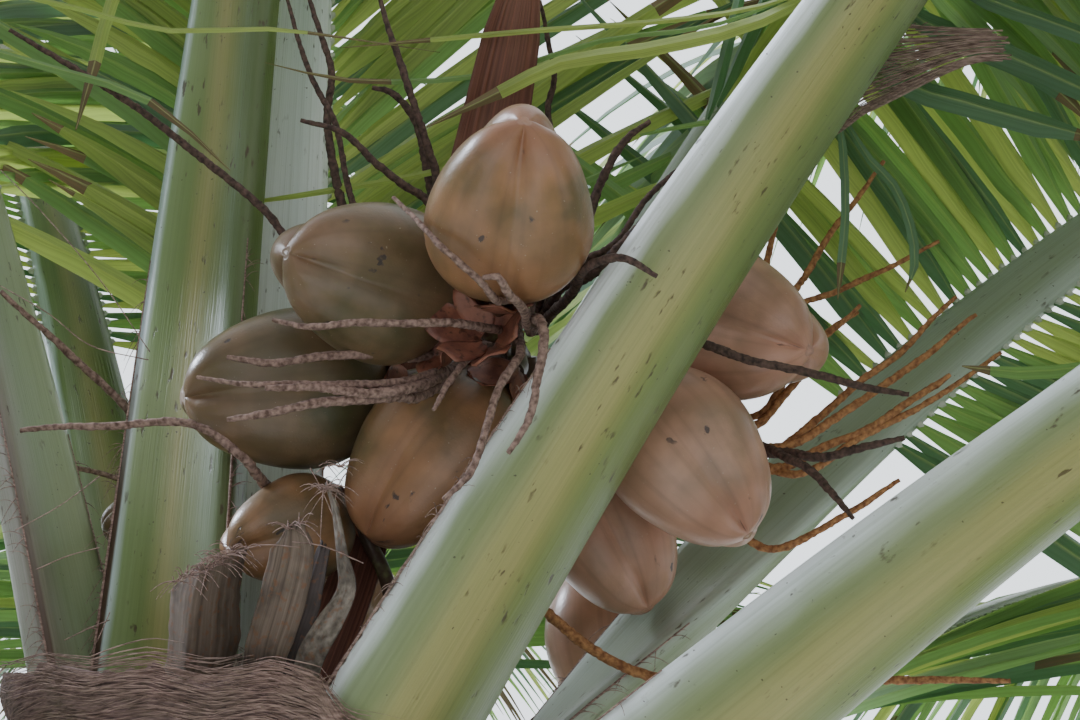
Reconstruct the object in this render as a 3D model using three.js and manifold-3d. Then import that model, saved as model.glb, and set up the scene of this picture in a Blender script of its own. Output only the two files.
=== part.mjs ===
// A dwarf coconut palm in fruit: trunk, fronds, three bunches of nuts, leaf sheath and bracts.
// Units are millimetres and +Z is up. The origin is the middle of the trunk's flat cut at ground level.
// The crown has a frame of its own, whose origin is the crown's middle on the trunk's axis. Every place
// in the tables below is measured from there. Azimuth 0 points along -Y, the side that the nuts are
// seen from, and 90 along +X. Rise is the angle above level.

import * as THREE from "three";
import Module from "manifold-3d";

const wasm = await Module();
wasm.setup();

const DEG = Math.PI / 180;
const CLEAR = 0.3; // gap left between a piece and what carries it
const UP = new THREE.Vector3(0, 0, 1);

// Trunk: radii at named heights, and how far the top stands off to one side of the foot.
const TRUNK = {
  sides: 14,
  lean: [-60, 25],
  heights: [0, 60, 160, 320, 600, 1000, 1400, 1800, 2100, 2250, 2400, 2500, 2600, 2680],
  radii: [215, 185, 158, 140, 128, 120, 115, 113, 118, 128, 122, 104, 78, 40],
};
const TRUNK_TOP = TRUNK.heights.at(-1);
const CROWN_HEIGHT = 2350; // level of the crown's middle

// Fronds: stalk and rib taper by one law, and the rib bows under its own weight.
const FROND = {
  bare: 0.25, // share of the length that is bare stalk, unless a frond gives its own
  taper: 1.6,
  bowPower: 1.7,
  depthShare: 0.6, // depth of the stalk as a share of its width
  rolls: [0.0625, 0.25], // shares of the length between which a frond turns about its own line
  rollsBack: [0.35, 0.6], // and between which it turns back, to hang level
  least: 10, // width of the rib at its tip
  steps: 64, // for working out the bowed line
  stalkRings: 4,
};
const LEAFLET = {
  pairs: 13,
  longest: 880,
  fullest: 0.35, // where along the blade the longest leaflets are
  atStart: 0.66, // length at the blade's start and end, as shares of the longest
  atEnd: 0.34,
  forward: [4, 68], // degrees towards the tip, at the blade's start and end
  forwardPower: 0.65,
  youngFrom: 65, // rise in degrees past which a frond is young, with leaflets that still lean forward
  youngLean: 2.2, // degrees more towards the tip for each degree past it
  lift: 8, // degrees above the blade's plane at the rib
  sag: [0.2, 0.95], // downward pull on the inner and the outer half
  stiff: [0.25, 0.35], // share of the sag at the blade's start, and where on the blade it is whole
  bendAt: 0.45,
  width: 86,
  tries: [1, 0.75, 0.5], // lengths tried before a leaflet is left out
  room: 4, // clearance to other fronds and to the nuts
};

// Each frond: azimuth, rise and bow in degrees, length, width of the stalk's foot, where the foot is,
// and for some the roll about its own line. The first eight stand round the two bunches in front, the
// rest complete the crown.
const FRONDS = [
  { az: 150, rise: 85, bow: 26, length: 3700, width: 172, foot: [-76, 55, 225] },
  { az: 234, rise: 72, bow: 40, length: 3800, width: 140, foot: [-80, 50, 60] },
  { az: 180, rise: 78, bow: 36, length: 3800, width: 125, bare: 0.15, foot: [30, 118, 150] },
  { az: 272, rise: 56, bow: 46, length: 3700, width: 135, foot: [-150, -40, -105] },
  { az: 65, rise: 55.5, bow: 60, length: 3900, width: 220, bare: 0.29, foot: [45, -20, 60] },
  { az: 109, rise: 48.5, bow: 58, length: 3900, width: 140, roll: 65, foot: [50, 30, -44] },
  { az: 69, rise: 37, bow: 56, length: 3800, width: 280, bare: 0.29, foot: [18, -15, -124] },
  { az: 102, rise: 63, bow: 50, length: 3900, width: 125, foot: [38, 66, 120] },
  { az: 205, rise: 60, bow: 52, length: 3900, width: 135, foot: [-30, 60, 40] },
  { az: 148, rise: 56, bow: 56, length: 3900, width: 135, roll: -30, foot: [36, 64, 50] },
  { az: 248, rise: 46, bow: 60, length: 3900, width: 140, foot: [-60, 10, -60] },
  { az: 304, rise: 40, bow: 60, length: 3700, width: 140, foot: [-40, -30, -120] },
  { az: 182, rise: 40, bow: 58, length: 3900, width: 140, foot: [0, 50, -70] },
  { az: 222, rise: 31, bow: 56, length: 3700, width: 135, foot: [-30, 20, -140] },
  { az: 138, rise: 35, bow: 56, length: 3700, width: 135, foot: [30, 30, -125] },
  { az: 98, rise: 14, bow: 52, length: 3600, width: 135, foot: [20, 0, -215] },
  { az: 274, rise: 20, bow: 52, length: 3600, width: 135, foot: [-30, 0, -180] },
  { az: 328, rise: 16, bow: 46, length: 3400, width: 135, foot: [-10, -20, -220] },
  { az: 36, rise: 9, bow: 44, length: 3400, width: 135, foot: [20, -30, -255] },
  { az: 166, rise: 14, bow: 48, length: 3500, width: 135, foot: [10, 20, -210] },
  { az: 238, rise: 7, bow: 44, length: 3400, width: 135, foot: [-20, 20, -262] },
];
const SPLIT_FROM_BOW = 50; // a frond that bows this much is two pieces, cut across its rib
const SPLIT_AT = 0.53;

// The youngest leaf, still folded into a spear.
const SPEAR = { foot: [-38, 142, 255], top: [-60, 640, 3400], width: 40, rings: 6 };

// Nuts: where the stalk end sits, which way the tip points, and size. A nut that the hub's stalk can't
// reach straight hangs on a side stalk, from a numbered point of the main one by way of another.
const NUT = { length: 222, width: 156, fullest: 0.8, roundness: 0.6, ridge: 0.045, sides: 12, rings: 6 };
const BUNCHES = [
  {
    name: "front",
    nuts: [
      { seat: [279, -210, 651], az: 8, rise: 26, size: 1 },
      { seat: [223, -95, 678], az: 315, rise: -1, size: 1 },
      { seat: [160, 16, 632], az: 290, rise: -11, size: 1.04 },
      { seat: [284, -56, 607], az: 263, rise: -49, size: 1 },
      { seat: [120, 22, 492], az: 303, rise: -25, size: 0.7, from: 2, by: [160, 36, 430] },
    ],
    stalk: [[60, -10, 190], [110, -18, 220], [180, -10, 330], [245, 0, 440], [305, 40, 560], [300, 0, 655]],
    twigs: [
      [[300, 0, 655], [262, -160, 600], [240, -215, 590], [60, -255, 590]],
      [[262, -160, 600], [180, -205, 550], [0, -220, 540]],
      [[300, 0, 655], [310, -190, 570], [235, -255, 415]],
      [[300, 0, 655], [338, -250, 590], [300, -290, 465]],
      [[300, 0, 655], [250, 10, 760], [195, -35, 950]],
      [[300, 0, 655], [200, 0, 740], [67, -100, 762], [-226, -161, 956]],
      [[131, 29, 498], [110, -42, 520], [43, -78, 500], [-24, -100, 547], [-202, -68, 551]],
      [[300, 0, 655], [330, -80, 760], [330, -130, 960]],
      [[300, 0, 655], [360, -110, 720], [378, -250, 700], [420, -270, 800]],
    ],
  },
  {
    name: "right",
    nuts: [
      { seat: [462, 72, 736], az: 45, rise: -27, size: 1 },
      { seat: [409, -10, 620], az: 76, rise: -54, size: 1 },
      { seat: [350, 128, 588], az: 85, rise: -64, size: 0.9 },
      { seat: [391, 299, 518], az: 82, rise: -86, size: 0.9 },
    ],
    stalk: [[60, 5, -10], [115, 15, 60], [190, 45, 200], [290, 42, 420], [366, 36, 570], [402, 52, 640]],
    twigs: [
      [[402, 52, 640], [430, 12, 672], [478, -88, 636], [679, -125, 564]],
      [[478, -88, 636], [526, -98, 547], [626, -113, 442]],
      [[526, -98, 547], [610, -100, 552], [704, -113, 531]],
      [[402, 52, 640], [485, 85, 600], [640, 65, 620], [808, 44, 685]],
      [[485, 85, 600], [610, 60, 650], [728, 14, 765]],
      [[485, 85, 600], [604, 80, 715], [670, -18, 854]],
      [[402, 52, 640], [470, 78, 540], [560, 75, 470], [696, 45, 535]],
    ],
  },
  {
    name: "back",
    nuts: [
      { seat: [-68, 196, 548], az: 278, rise: -15, size: 0.43, from: 5, by: [-76, 300, 570] },
      { seat: [-46, 374, 506], az: 221, rise: -37, size: 0.95 },
      { seat: [-30, 367, 600], az: 182, rise: 15, size: 0.95 },
      { seat: [41, 348, 548], az: 142, rise: -35, size: 0.9 },
    ],
    stalk: [[-10, 60, 90], [-10, 120, 130], [-12, 180, 190], [-5, 250, 340], [0, 305, 480], [0, 320, 545]],
    twigs: [
      [[-80, 300, 570], [-118, 180, 640], [-266, 100, 768]],
      [[0, 320, 545], [-120, 350, 620], [-260, 330, 650]],
      [[0, 320, 545], [60, 420, 620], [90, 560, 660]],
    ],
  },
];
const STALK = { sides: 8, radii: [24, 24, 23, 22, 20, 17] };
const NUT_STALK = { sides: 5, radius: 11, short: 14 }; // ends this short of the nut
const TWIG = { sides: 4, radii: [7, 4], perSpan: 2 };
// The husk's cup: how far ahead of the nut's end, and the radius, at its back, its rim and the rim's
// inner edge.
const CUP = {
  sides: 7,
  rings: [
    [-18, 20],
    [14, 44],
    [15, 33],
  ],
};

// The woody bract that once sheathed the front bunch's flowers: points up its middle, the width at
// each, and which way its back faces.
const BRACT = {
  line: [
    [40, 30, 180], [95, 45, 330], [130, 55, 440], [156, 72, 560], [174, 100, 620], [205, 118, 690],
    [245, 80, 821], [290, -10, 1019], [316, -72, 1140],
  ],
  widths: [44, 50, 50, 48, 56, 88, 88, 62, 8],
  back: [0, -1, 0],
};

// Broken ends of old flower stalks, low in front: points up the middle and the radius at each.
const STUB_SIDES = 7;
const STUBS = [
  { line: [[0, -60, 160], [8, -104, 250], [24, -138, 320], [44, -158, 396]], radii: [20, 22, 20, 13] },
  { line: [[50, -50, 150], [84, -108, 250], [104, -136, 330], [118, -150, 424]], radii: [18, 19, 21, 15] },
  { line: [[-60, -60, 150], [-58, -112, 240], [-52, -144, 310], [-40, -160, 382]], radii: [18, 20, 18, 10] },
];

// The woven sheath that stands up in front of the heart: azimuths across it, then the height and the
// radius of each row.
const SHEATH = {
  across: [-76, -60, -44, -28, -12, 4, 18, 30, 38],
  rows: [[-40, 112], [60, 158], [150, 190], [235, 216]],
  ragged: [56, 44, 40, 22, 26, 8, 22, 6, -30], // how much higher the top edge stands across it
  thickness: 9,
};

// A scrap of dry fibre net that hangs from the big front frond's stalk.
const NET = {
  rows: [
    [[520, -235, 760], [630, -215, 800], [740, -200, 800]],
    [[545, -240, 830], [650, -180, 880], [790, -170, 875]],
    [[570, -245, 890], [665, -190, 960], [800, -190, 965]],
  ],
  thickness: 7,
};

const MATERIALS = {
  trunk: { color: 0x8a8378, roughness: 0.9 },
  stalk: { color: 0x8e9c5e, roughness: 0.45 },
  nut: { color: 0x8a6340, roughness: 0.35 },
  twig: { color: 0x7a5a48, roughness: 0.85 },
  husk: { color: 0x6f6259, roughness: 0.95 },
};

const at = (xyz) => new THREE.Vector3(...xyz);
const shifted = (point, ...moves) =>
  moves.reduce((p, [way, by]) => p.addScaledVector(way, by), point.clone());

function direction(az, rise) {
  return new THREE.Vector3(
    Math.sin(az * DEG) * Math.cos(rise * DEG),
    -Math.cos(az * DEG) * Math.cos(rise * DEG),
    Math.sin(rise * DEG),
  );
}

function trunkAxis(height) {
  const share = (height / TRUNK_TOP) ** 2;
  return new THREE.Vector3(TRUNK.lean[0] * share, TRUNK.lean[1] * share, height);
}

// A closed skin that grows ring by ring, with faces that point outwards.
class Skin {
  constructor() {
    this.points = [];
    this.faces = [];
  }

  point(p) {
    return this.points.push(p) - 1;
  }

  quad(a, b, c, d) {
    this.faces.push([a, b, c], [a, c, d]);
  }

  ring(points) {
    return points.map((p) => this.point(p));
  }

  wall(from, to, skip = () => false) {
    from.forEach((a, i) => {
      const j = (i + 1) % from.length;
      if (!skip(i)) this.quad(a, from[j], to[j], to[i]);
    });
  }

  // The walls of a thin four-sided tube. Its two broad faces fold along the same diagonal, so that
  // they stay apart where the tube twists.
  blade(from, to) {
    this.wall(from, to, (i) => i === 3);
    this.faces.push([from[0], to[0], to[3]], [from[0], to[3], from[3]]);
  }

  close(ring, at, facingBack) {
    const tip = this.point(at);
    ring.forEach((a, i) => {
      const b = ring[(i + 1) % ring.length];
      this.faces.push(facingBack ? [b, a, tip] : [a, b, tip]);
    });
  }

  solid() {
    const mesh = new wasm.Mesh({
      numProp: 3,
      vertProperties: new Float32Array(this.points.flatMap((p) => [p.x, p.y, p.z])),
      triVerts: new Uint32Array(this.faces.flat()),
    });
    return new wasm.Manifold(mesh);
  }
}

const middle = (points) =>
  points.reduce((sum, p) => sum.add(p), new THREE.Vector3()).divideScalar(points.length);

// A body through a row of rings that closes to a point at each end.
function pointed(rings, start, end) {
  const skin = new Skin();
  const placed = rings.map((r) => skin.ring(r));
  placed.slice(1).forEach((ring, i) => skin.wall(placed[i], ring));
  skin.close(placed[0], start, true);
  skin.close(placed.at(-1), end, false);
  return skin.solid();
}

// A limb through a row of rings, flat at both ends.
const limb = (rings) => pointed(rings, middle(rings[0]), middle(rings.at(-1)));

// Points of a round or lobed ring about a line, counted so that walls face outwards.
function roundRing(centre, along, radius, sides, lobe = () => 1) {
  const level = Math.abs(along.z) > 0.95 ? new THREE.Vector3(1, 0, 0) : UP;
  const side = new THREE.Vector3().crossVectors(level, along).normalize();
  const over = new THREE.Vector3().crossVectors(along, side);
  return Array.from({ length: sides }, (_, i) => {
    const angle = (2 * Math.PI * i) / sides;
    const r = radius * lobe(angle);
    return shifted(centre, [side, r * Math.cos(angle)], [over, r * Math.sin(angle)]);
  });
}

// The trunk, optionally grown a little to cut room for itself.
function trunkSolid(grow = 0) {
  return limb(TRUNK.heights.map((h, i) => roundRing(trunkAxis(h), UP, TRUNK.radii[i] + grow, TRUNK.sides)));
}

function rollAt(frond, share) {
  const there = THREE.MathUtils.smoothstep(share, ...FROND.rolls);
  const back = THREE.MathUtils.smoothstep(share, ...FROND.rollsBack);
  return (frond.roll ?? 0) * (there - back) * DEG;
}

// The bowed line of a frond: points, and at each the way along, to its left and up off its face.
function frondLine(frond) {
  const step = frond.length / FROND.steps;
  const outward = direction(frond.az, 0);
  const level = direction(frond.az + 90, 0);
  const line = [];
  let place = at(frond.foot);
  for (let i = 0; i <= FROND.steps; i += 1) {
    const rise = (frond.rise - frond.bow * (i / FROND.steps) ** FROND.bowPower) * DEG;
    const along = shifted(new THREE.Vector3(), [outward, Math.cos(rise)], [UP, Math.sin(rise)]);
    const left = level.clone().applyAxisAngle(along, rollAt(frond, i / FROND.steps));
    line.push({ place, along, left, up: new THREE.Vector3().crossVectors(along, left) });
    place = shifted(place, [along, step]);
  }
  return line;
}

function pointOn(line, share) {
  const i = Math.min(Math.floor(share * FROND.steps), FROND.steps - 1);
  const blend = (key) => line[i][key].clone().lerp(line[i + 1][key], share * FROND.steps - i);
  const ways = ["along", "left", "up"].map((key) => [key, blend(key).normalize()]);
  return { place: blend("place"), ...Object.fromEntries(ways) };
}

const bareShare = (frond) => frond.bare ?? FROND.bare;

const stalkWidth = (frond, share) => Math.max(FROND.least, frond.width * (1 - share) ** FROND.taper);

// Six corners round the stalk: a shallow channel on top that becomes a ridge, two side faces that
// the leaflets grow from, and a keel below.
function stalkRing(frond, line, share, grow = 0) {
  const { place, left, up } = pointOn(line, share);
  const half = stalkWidth(frond, share) / 2 + grow;
  const depth = Math.max(FROND.least, stalkWidth(frond, share) * FROND.depthShare) + 2 * grow;
  const crest = share < bareShare(frond) ? 0.06 : 0.36;
  const corners = [
    [0, crest],
    [-1, 0.18],
    [-0.94, -0.16],
    [0, -0.7],
    [0.94, -0.16],
    [1, 0.18],
  ];
  return corners.map(([side, height]) => shifted(place, [left, side * half], [up, height * depth]));
}
const SIDE_FACES = { right: 1, left: 4 };

// A leaflet's length as a share of the longest, u of the way along the blade.
function leafletShare(u) {
  const before = u < LEAFLET.fullest;
  const end = before ? LEAFLET.atStart : LEAFLET.atEnd;
  const reach = before ? 1 - u / LEAFLET.fullest : (u - LEAFLET.fullest) / (1 - LEAFLET.fullest);
  return 1 - (1 - end) * reach ** 2;
}

// How far a leaflet leans towards the frond's tip, in radians.
function leafletForward(frond, u) {
  const young = Math.max(0, frond.rise - LEAFLET.youngFrom) * LEAFLET.youngLean;
  const lean = THREE.MathUtils.lerp(...LEAFLET.forward, u ** LEAFLET.forwardPower) + young;
  return Math.min(LEAFLET.forward[1], lean) * DEG;
}

// The four corners at a leaflet's bend, and its tip. Side is -1 on the right and 1 on the left.
function leafletShape(frond, line, u, share, side, scale) {
  const { place, along, left, up } = pointOn(line, share);
  const length = LEAFLET.longest * leafletShare(u) * scale;
  const forward = leafletForward(frond, u);
  const out = shifted(
    new THREE.Vector3(),
    [left, side * Math.cos(forward)],
    [along, Math.sin(forward)],
    [up, Math.sin(LEAFLET.lift * DEG)],
  );
  const [stiffest, wholeFrom] = LEAFLET.stiff;
  const give = THREE.MathUtils.lerp(stiffest, 1, Math.min(1, u / wholeFrom));
  const pulled = (sag) => shifted(out, [UP, -sag * give]).normalize();
  const bend = shifted(place, [pulled(LEAFLET.sag[0]), length * LEAFLET.bendAt]);
  const tip = shifted(bend, [pulled(LEAFLET.sag[1]), length * (1 - LEAFLET.bendAt)]);
  const run = tip.clone().sub(place).normalize();
  const across = shifted(along, [run, -along.dot(run)]).normalize();
  const off = new THREE.Vector3().crossVectors(across, run).multiplyScalar(side);
  const halfWidth = (LEAFLET.width / 2) * Math.min(1, leafletShare(u) * 1.1);
  const halfThick = Math.max(3, length / 180);
  const corner = (a, b) => shifted(bend, [across, a * halfWidth], [off, b * halfThick]);
  return { corners: [corner(-1, 1), corner(1, 1), corner(1, -1), corner(-1, -1)], tip };
}

// A leaflet alone, as a closed solid, to see what it would touch.
function looseLeaflet(base, shape) {
  const skin = new Skin();
  const root = skin.ring(base);
  const bend = skin.ring(shape.corners);
  skin.blade(root, bend);
  skin.faces.push([root[0], root[2], root[1]], [root[0], root[3], root[2]]);
  skin.close(bend, shape.tip, false);
  return skin.solid();
}

// Solids that later leaflets and twigs keep clear of, each with its box and its owner.
const taken = [];
function take(owner, solid) {
  taken.push({ owner, solid, ...solid.boundingBox() });
  return solid;
}

// Whether a solid comes nearer than the room given to another owner's.
function touches(owner, solid, room) {
  const { min, max } = solid.boundingBox();
  return taken.some(
    (other) =>
      other.owner !== owner &&
      [0, 1, 2].every((k) => min[k] - room < other.max[k] && max[k] + room > other.min[k]) &&
      other.solid.minGap(solid, room * 2) < room,
  );
}

// Shares of the length where the stalk's rings and the leaflets' stations are.
const stalkShares = (frond) =>
  Array.from({ length: FROND.stalkRings }, (_, i) => (bareShare(frond) * i) / FROND.stalkRings);
const bladeShares = (frond) =>
  Array.from({ length: LEAFLET.pairs + 1 }, (_, i) =>
    THREE.MathUtils.lerp(bareShare(frond), 1, i / LEAFLET.pairs),
  );

// The base of a leaflet is one side face of the rib, between two rings.
function leafletBase(from, to, side) {
  const f = side < 0 ? SIDE_FACES.right : SIDE_FACES.left;
  return [from[f], from[f + 1], to[f + 1], to[f]];
}

// Gives one station of a frond its leaflets, each as long as stays clear of all that is there.
function dealLeaflets(frond, name, line, station, chosen) {
  const u = (station + 0.5) / LEAFLET.pairs;
  const shares = bladeShares(frond).slice(station, station + 2);
  const [from, to] = shares.map((s) => stalkRing(frond, line, s));
  for (const side of [-1, 1]) {
    const base = leafletBase(from, to, side);
    for (const scale of LEAFLET.tries) {
      const shape = leafletShape(frond, line, u, (shares[0] + shares[1]) / 2, side, scale);
      const loose = looseLeaflet(base, turned(base, shape));
      if (touches(name, loose, LEAFLET.room)) continue;
      take(name, loose);
      chosen.set(`${station}:${side}`, shape);
      break;
    }
  }
}

// Which way round four corners go, seen from the tip: above 0 if their walls face outwards.
function windingFrom(corners, tip) {
  const across = corners[2].clone().sub(corners[0]);
  const over = corners[3].clone().sub(corners[1]);
  return across.cross(over).dot(tip.clone().sub(corners[0]));
}

// The bend's corners in the order of the base's: the same way round, and with the least twist.
function turned(base, shape) {
  const { corners, tip } = shape;
  const sameWay = windingFrom(base, tip) * windingFrom(corners, tip) > 0;
  const ring = sameWay ? corners : [...corners].reverse();
  const turns = ring.map((_, k) => [...ring.slice(k), ...ring.slice(0, k)]);
  const gap = (turn) => turn.reduce((sum, corner, i) => sum + base[i].distanceTo(corner), 0);
  return { corners: turns.reduce((a, b) => (gap(b) < gap(a) ? b : a)), tip };
}

// The stalk, rib and leaflets between two shares of the frond's length, as one skin.
function frondSolid(frond, line, chosen, from, to) {
  const stations = bladeShares(frond);
  const shares = [...stalkShares(frond), ...stations].filter((s) => s >= from && s <= to);
  const skin = new Skin();
  const rings = shares.map((s) => skin.ring(stalkRing(frond, line, s)));
  for (let k = 0; k + 1 < rings.length; k += 1) {
    const station = stations.indexOf(shares[k]);
    const grown = [-1, 1].filter((side) => chosen.has(`${station}:${side}`));
    const faces = grown.map((side) => (side < 0 ? SIDE_FACES.right : SIDE_FACES.left));
    skin.wall(rings[k], rings[k + 1], (i) => faces.includes(i));
    grown.forEach((side) => {
      const base = leafletBase(rings[k], rings[k + 1], side);
      const shape = turned(
        base.map((i) => skin.points[i]),
        chosen.get(`${station}:${side}`),
      );
      const bend = skin.ring(shape.corners);
      skin.blade(base, bend);
      skin.close(bend, shape.tip, false);
    });
  }
  const ends = [rings[0], rings.at(-1)].map((ring) => middle(ring.map((i) => skin.points[i])));
  skin.close(rings[0], ends[0], true);
  skin.close(rings.at(-1), ends[1], false);
  return skin.solid();
}

// A frond's stalk and rib alone, grown a little to cut room for itself.
function stalkOnly(frond, line, grow) {
  const rings = [...stalkShares(frond), ...bladeShares(frond)].map((s) => stalkRing(frond, line, s, grow));
  rings[0] = rings[0].map((p) => shifted(p, [line[0].along, -3 * grow]));
  return limb(rings);
}

// A nut in its own frame, its stalk end at the origin and its tip up: three rounded ridges that meet
// in a pinched tip.
function nutSolid() {
  const rings = Array.from({ length: NUT.rings }, (_, i) => {
    const u = (i + 1) / (NUT.rings + 1);
    const swell = Math.sin(Math.PI * u ** NUT.fullest) ** NUT.roundness;
    const lobe = (angle) => 1 + NUT.ridge * (1 + u) * Math.cos(3 * angle);
    return roundRing(at([0, 0, NUT.length * u]), UP, (NUT.width / 2) * swell, NUT.sides, lobe);
  });
  return pointed(rings, new THREE.Vector3(), at([0, 0, NUT.length]));
}

// The husk's cup at the stalk end: a hollow cone that the nut's end stands in without touching.
function cupSolid(nut) {
  const along = direction(nut.az, nut.rise);
  const ahead = (by) => shifted(at(nut.seat), [along, by]);
  const rings = CUP.rings.map(([by, radius]) =>
    roundRing(ahead(by * nut.size), along, radius * nut.size, CUP.sides),
  );
  return pointed(rings, middle(rings[0]), ahead(-2 * CLEAR));
}

// A round limb that follows a smooth line through the given points.
function rod(points, radii, sides, perSpan) {
  const curve = new THREE.CatmullRomCurve3(points, false, "centripetal");
  const spans = points.length - 1;
  const count = spans * perSpan;
  const rings = Array.from({ length: count + 1 }, (_, i) => {
    const t = i / count;
    const span = Math.min(Math.floor(t * spans), spans - 1);
    const radius = THREE.MathUtils.lerp(radii[span], radii[span + 1], t * spans - span);
    return roundRing(curve.getPoint(t), curve.getTangent(t), radius, sides);
  });
  return limb(rings);
}

// A thin sheet over a grid of points, with its back a thickness away and its four edges closed.
function sheet(grid, thickness) {
  const rows = grid.length;
  const columns = grid[0].length;
  const normalAt = (i, j) => {
    const down = grid[Math.min(i + 1, rows - 1)][j].clone().sub(grid[Math.max(i - 1, 0)][j]);
    const across = grid[i][Math.min(j + 1, columns - 1)].clone().sub(grid[i][Math.max(j - 1, 0)]);
    return across.cross(down).normalize();
  };
  const skin = new Skin();
  const face = (offset) =>
    grid.map((row, i) => skin.ring(row.map((p, j) => shifted(p, [normalAt(i, j), offset]))));
  const front = face(thickness / 2);
  const back = face(-thickness / 2);
  for (let i = 0; i + 1 < rows; i += 1) {
    for (let j = 0; j + 1 < columns; j += 1) {
      skin.quad(front[i][j], front[i][j + 1], front[i + 1][j + 1], front[i + 1][j]);
      skin.quad(back[i][j], back[i + 1][j], back[i + 1][j + 1], back[i][j + 1]);
    }
  }
  const rim = (side) => [
    ...side[0].slice(0, -1),
    ...side.slice(0, -1).map((row) => row.at(-1)),
    ...side.at(-1).slice(1).reverse(),
    ...side.slice(1).reverse().map((row) => row[0]),
  ];
  skin.wall(rim(back), rim(front));
  return skin.solid();
}

// The bract: a strip that is thicker in the middle, bowed across, and narrows to its tip.
function bractSolid() {
  const points = BRACT.line.map(at);
  const curve = new THREE.CatmullRomCurve3(points, false, "centripetal");
  const section = [
    [-1, 0.34],
    [-1, 0.2],
    [0, -0.22],
    [1, 0.2],
    [1, 0.34],
    [0, 0.06],
  ];
  const rings = points.map((centre, i) => {
    const along = curve.getTangent(i / (points.length - 1));
    const side = new THREE.Vector3().crossVectors(at(BRACT.back), along).normalize();
    const off = new THREE.Vector3().crossVectors(along, side);
    const half = BRACT.widths[i] / 2;
    return section.map(([a, b]) => shifted(centre, [side, a * half], [off, b * half]));
  });
  const heart = (ring) => middle([ring[2], ring[5]]);
  return pointed(rings, heart(rings[0]), heart(rings.at(-1)));
}

function spearSolid() {
  const rings = Array.from({ length: SPEAR.rings }, (_, i) => {
    const t = i / (SPEAR.rings - 1);
    const radius = Math.max(5, (SPEAR.width / 2) * (1 - t) ** 0.8);
    return roundRing(at(SPEAR.foot).lerp(at(SPEAR.top), t), UP, radius, 6);
  });
  return limb(rings);
}

function sheathSolid() {
  const grid = SHEATH.rows.map(([height, radius], row) =>
    SHEATH.across.map((az, column) => {
      const ragged = row === SHEATH.rows.length - 1 ? SHEATH.ragged[column] : 0;
      return shifted(at([0, 0, height + ragged]), [direction(az, 0), radius]);
    }),
  );
  return sheet(grid, SHEATH.thickness);
}

// The biggest piece that a cut leaves.
const biggest = (solid) => solid.decompose().reduce((a, b) => (b.volume() > a.volume() ? b : a));

// A mesh in a group, stood on a point of its own from which its geometry is measured.
function addMesh(group, name, solid, finish, stand = new THREE.Vector3()) {
  const { vertProperties, triVerts } = solid.translate(stand.clone().negate().toArray()).getMesh();
  const geometry = new THREE.BufferGeometry();
  geometry.setAttribute("position", new THREE.BufferAttribute(vertProperties, 3));
  geometry.setIndex(new THREE.BufferAttribute(triVerts, 1));
  geometry.computeVertexNormals();
  const mesh = new THREE.Mesh(geometry, new THREE.MeshStandardMaterial(MATERIALS[finish]));
  mesh.name = name;
  mesh.position.copy(stand);
  group.add(mesh);
  return mesh;
}

const palm = new THREE.Group();
const crown = new THREE.Group();
crown.position.copy(trunkAxis(CROWN_HEIGHT));
palm.add(crown);

const trunk = trunkSolid();
addMesh(palm, "trunk", trunk, "trunk");
const toCrown = crown.position.clone().negate().toArray();
take("trunk", trunk.translate(toCrown));

// Nuts come first, because everything else keeps clear of them.
const nutShape = nutSolid();
for (const bunch of BUNCHES) {
  bunch.group = new THREE.Group();
  crown.add(bunch.group);
  bunch.nuts.forEach((nut, i) => {
    const mesh = addMesh(bunch.group, `nut_${bunch.name}_${i + 1}`, nutShape, "nut");
    mesh.position.copy(at(nut.seat));
    mesh.quaternion.setFromUnitVectors(UP, direction(nut.az, nut.rise));
    mesh.scale.setScalar(nut.size);
    mesh.updateMatrix();
    take(mesh.name, nutShape.transform(mesh.matrix.elements));
  });
}

// Each stalk is cut by the trunk and by the stalks before it, all grown a little.
const lines = FRONDS.map(frondLine);
const rooms = [trunkSolid(CLEAR).translate(toCrown)];
const roots = FRONDS.map((frond, i) => {
  take(`frond_${i + 1}`, stalkOnly(frond, lines[i], 0));
  const before = wasm.Manifold.union(rooms);
  rooms.push(stalkOnly(frond, lines[i], CLEAR));
  return before;
});
const allRooms = wasm.Manifold.union(rooms);

// The rest of the crown stands in what room the trunk and the stalks leave.
function addPiece(group, name, solid, finish, stand) {
  addMesh(group, name, take(name, biggest(solid.subtract(allRooms))), finish, at(stand));
}

addPiece(crown, "spear", spearSolid(), "stalk", SPEAR.foot);
addPiece(BUNCHES[0].group, "bract", bractSolid(), "husk", BRACT.line[0]);
for (const bunch of BUNCHES) {
  const name = `stalk_${bunch.name}`;
  const pieces = [rod(bunch.stalk.map(at), STALK.radii, STALK.sides, 1)];
  for (const nut of bunch.nuts) {
    const end = shifted(at(nut.seat), [direction(nut.az, nut.rise), -NUT_STALK.short * nut.size]);
    const route = nut.by ? [at(bunch.stalk[nut.from]), at(nut.by), end] : [at(bunch.stalk.at(-1)), end];
    const radii = route.map(() => NUT_STALK.radius * nut.size);
    pieces.push(cupSolid(nut), rod(route, radii, NUT_STALK.sides, 1));
  }
  for (const points of bunch.twigs) {
    const radii = points.map((_, i) => THREE.MathUtils.lerp(...TWIG.radii, i / (points.length - 1)));
    const twig = rod(points.map(at), radii, TWIG.sides, TWIG.perSpan);
    if (!touches(name, twig, CLEAR)) pieces.push(twig);
  }
  addPiece(bunch.group, name, wasm.Manifold.union(pieces), "twig", bunch.stalk[0]);
}
STUBS.forEach((stub, i) => {
  addPiece(crown, `stub_${i + 1}`, rod(stub.line.map(at), stub.radii, STUB_SIDES, 1), "husk", stub.line[0]);
});
addPiece(crown, "sheath", sheathSolid(), "husk", [0, 0, 0]);
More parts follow.
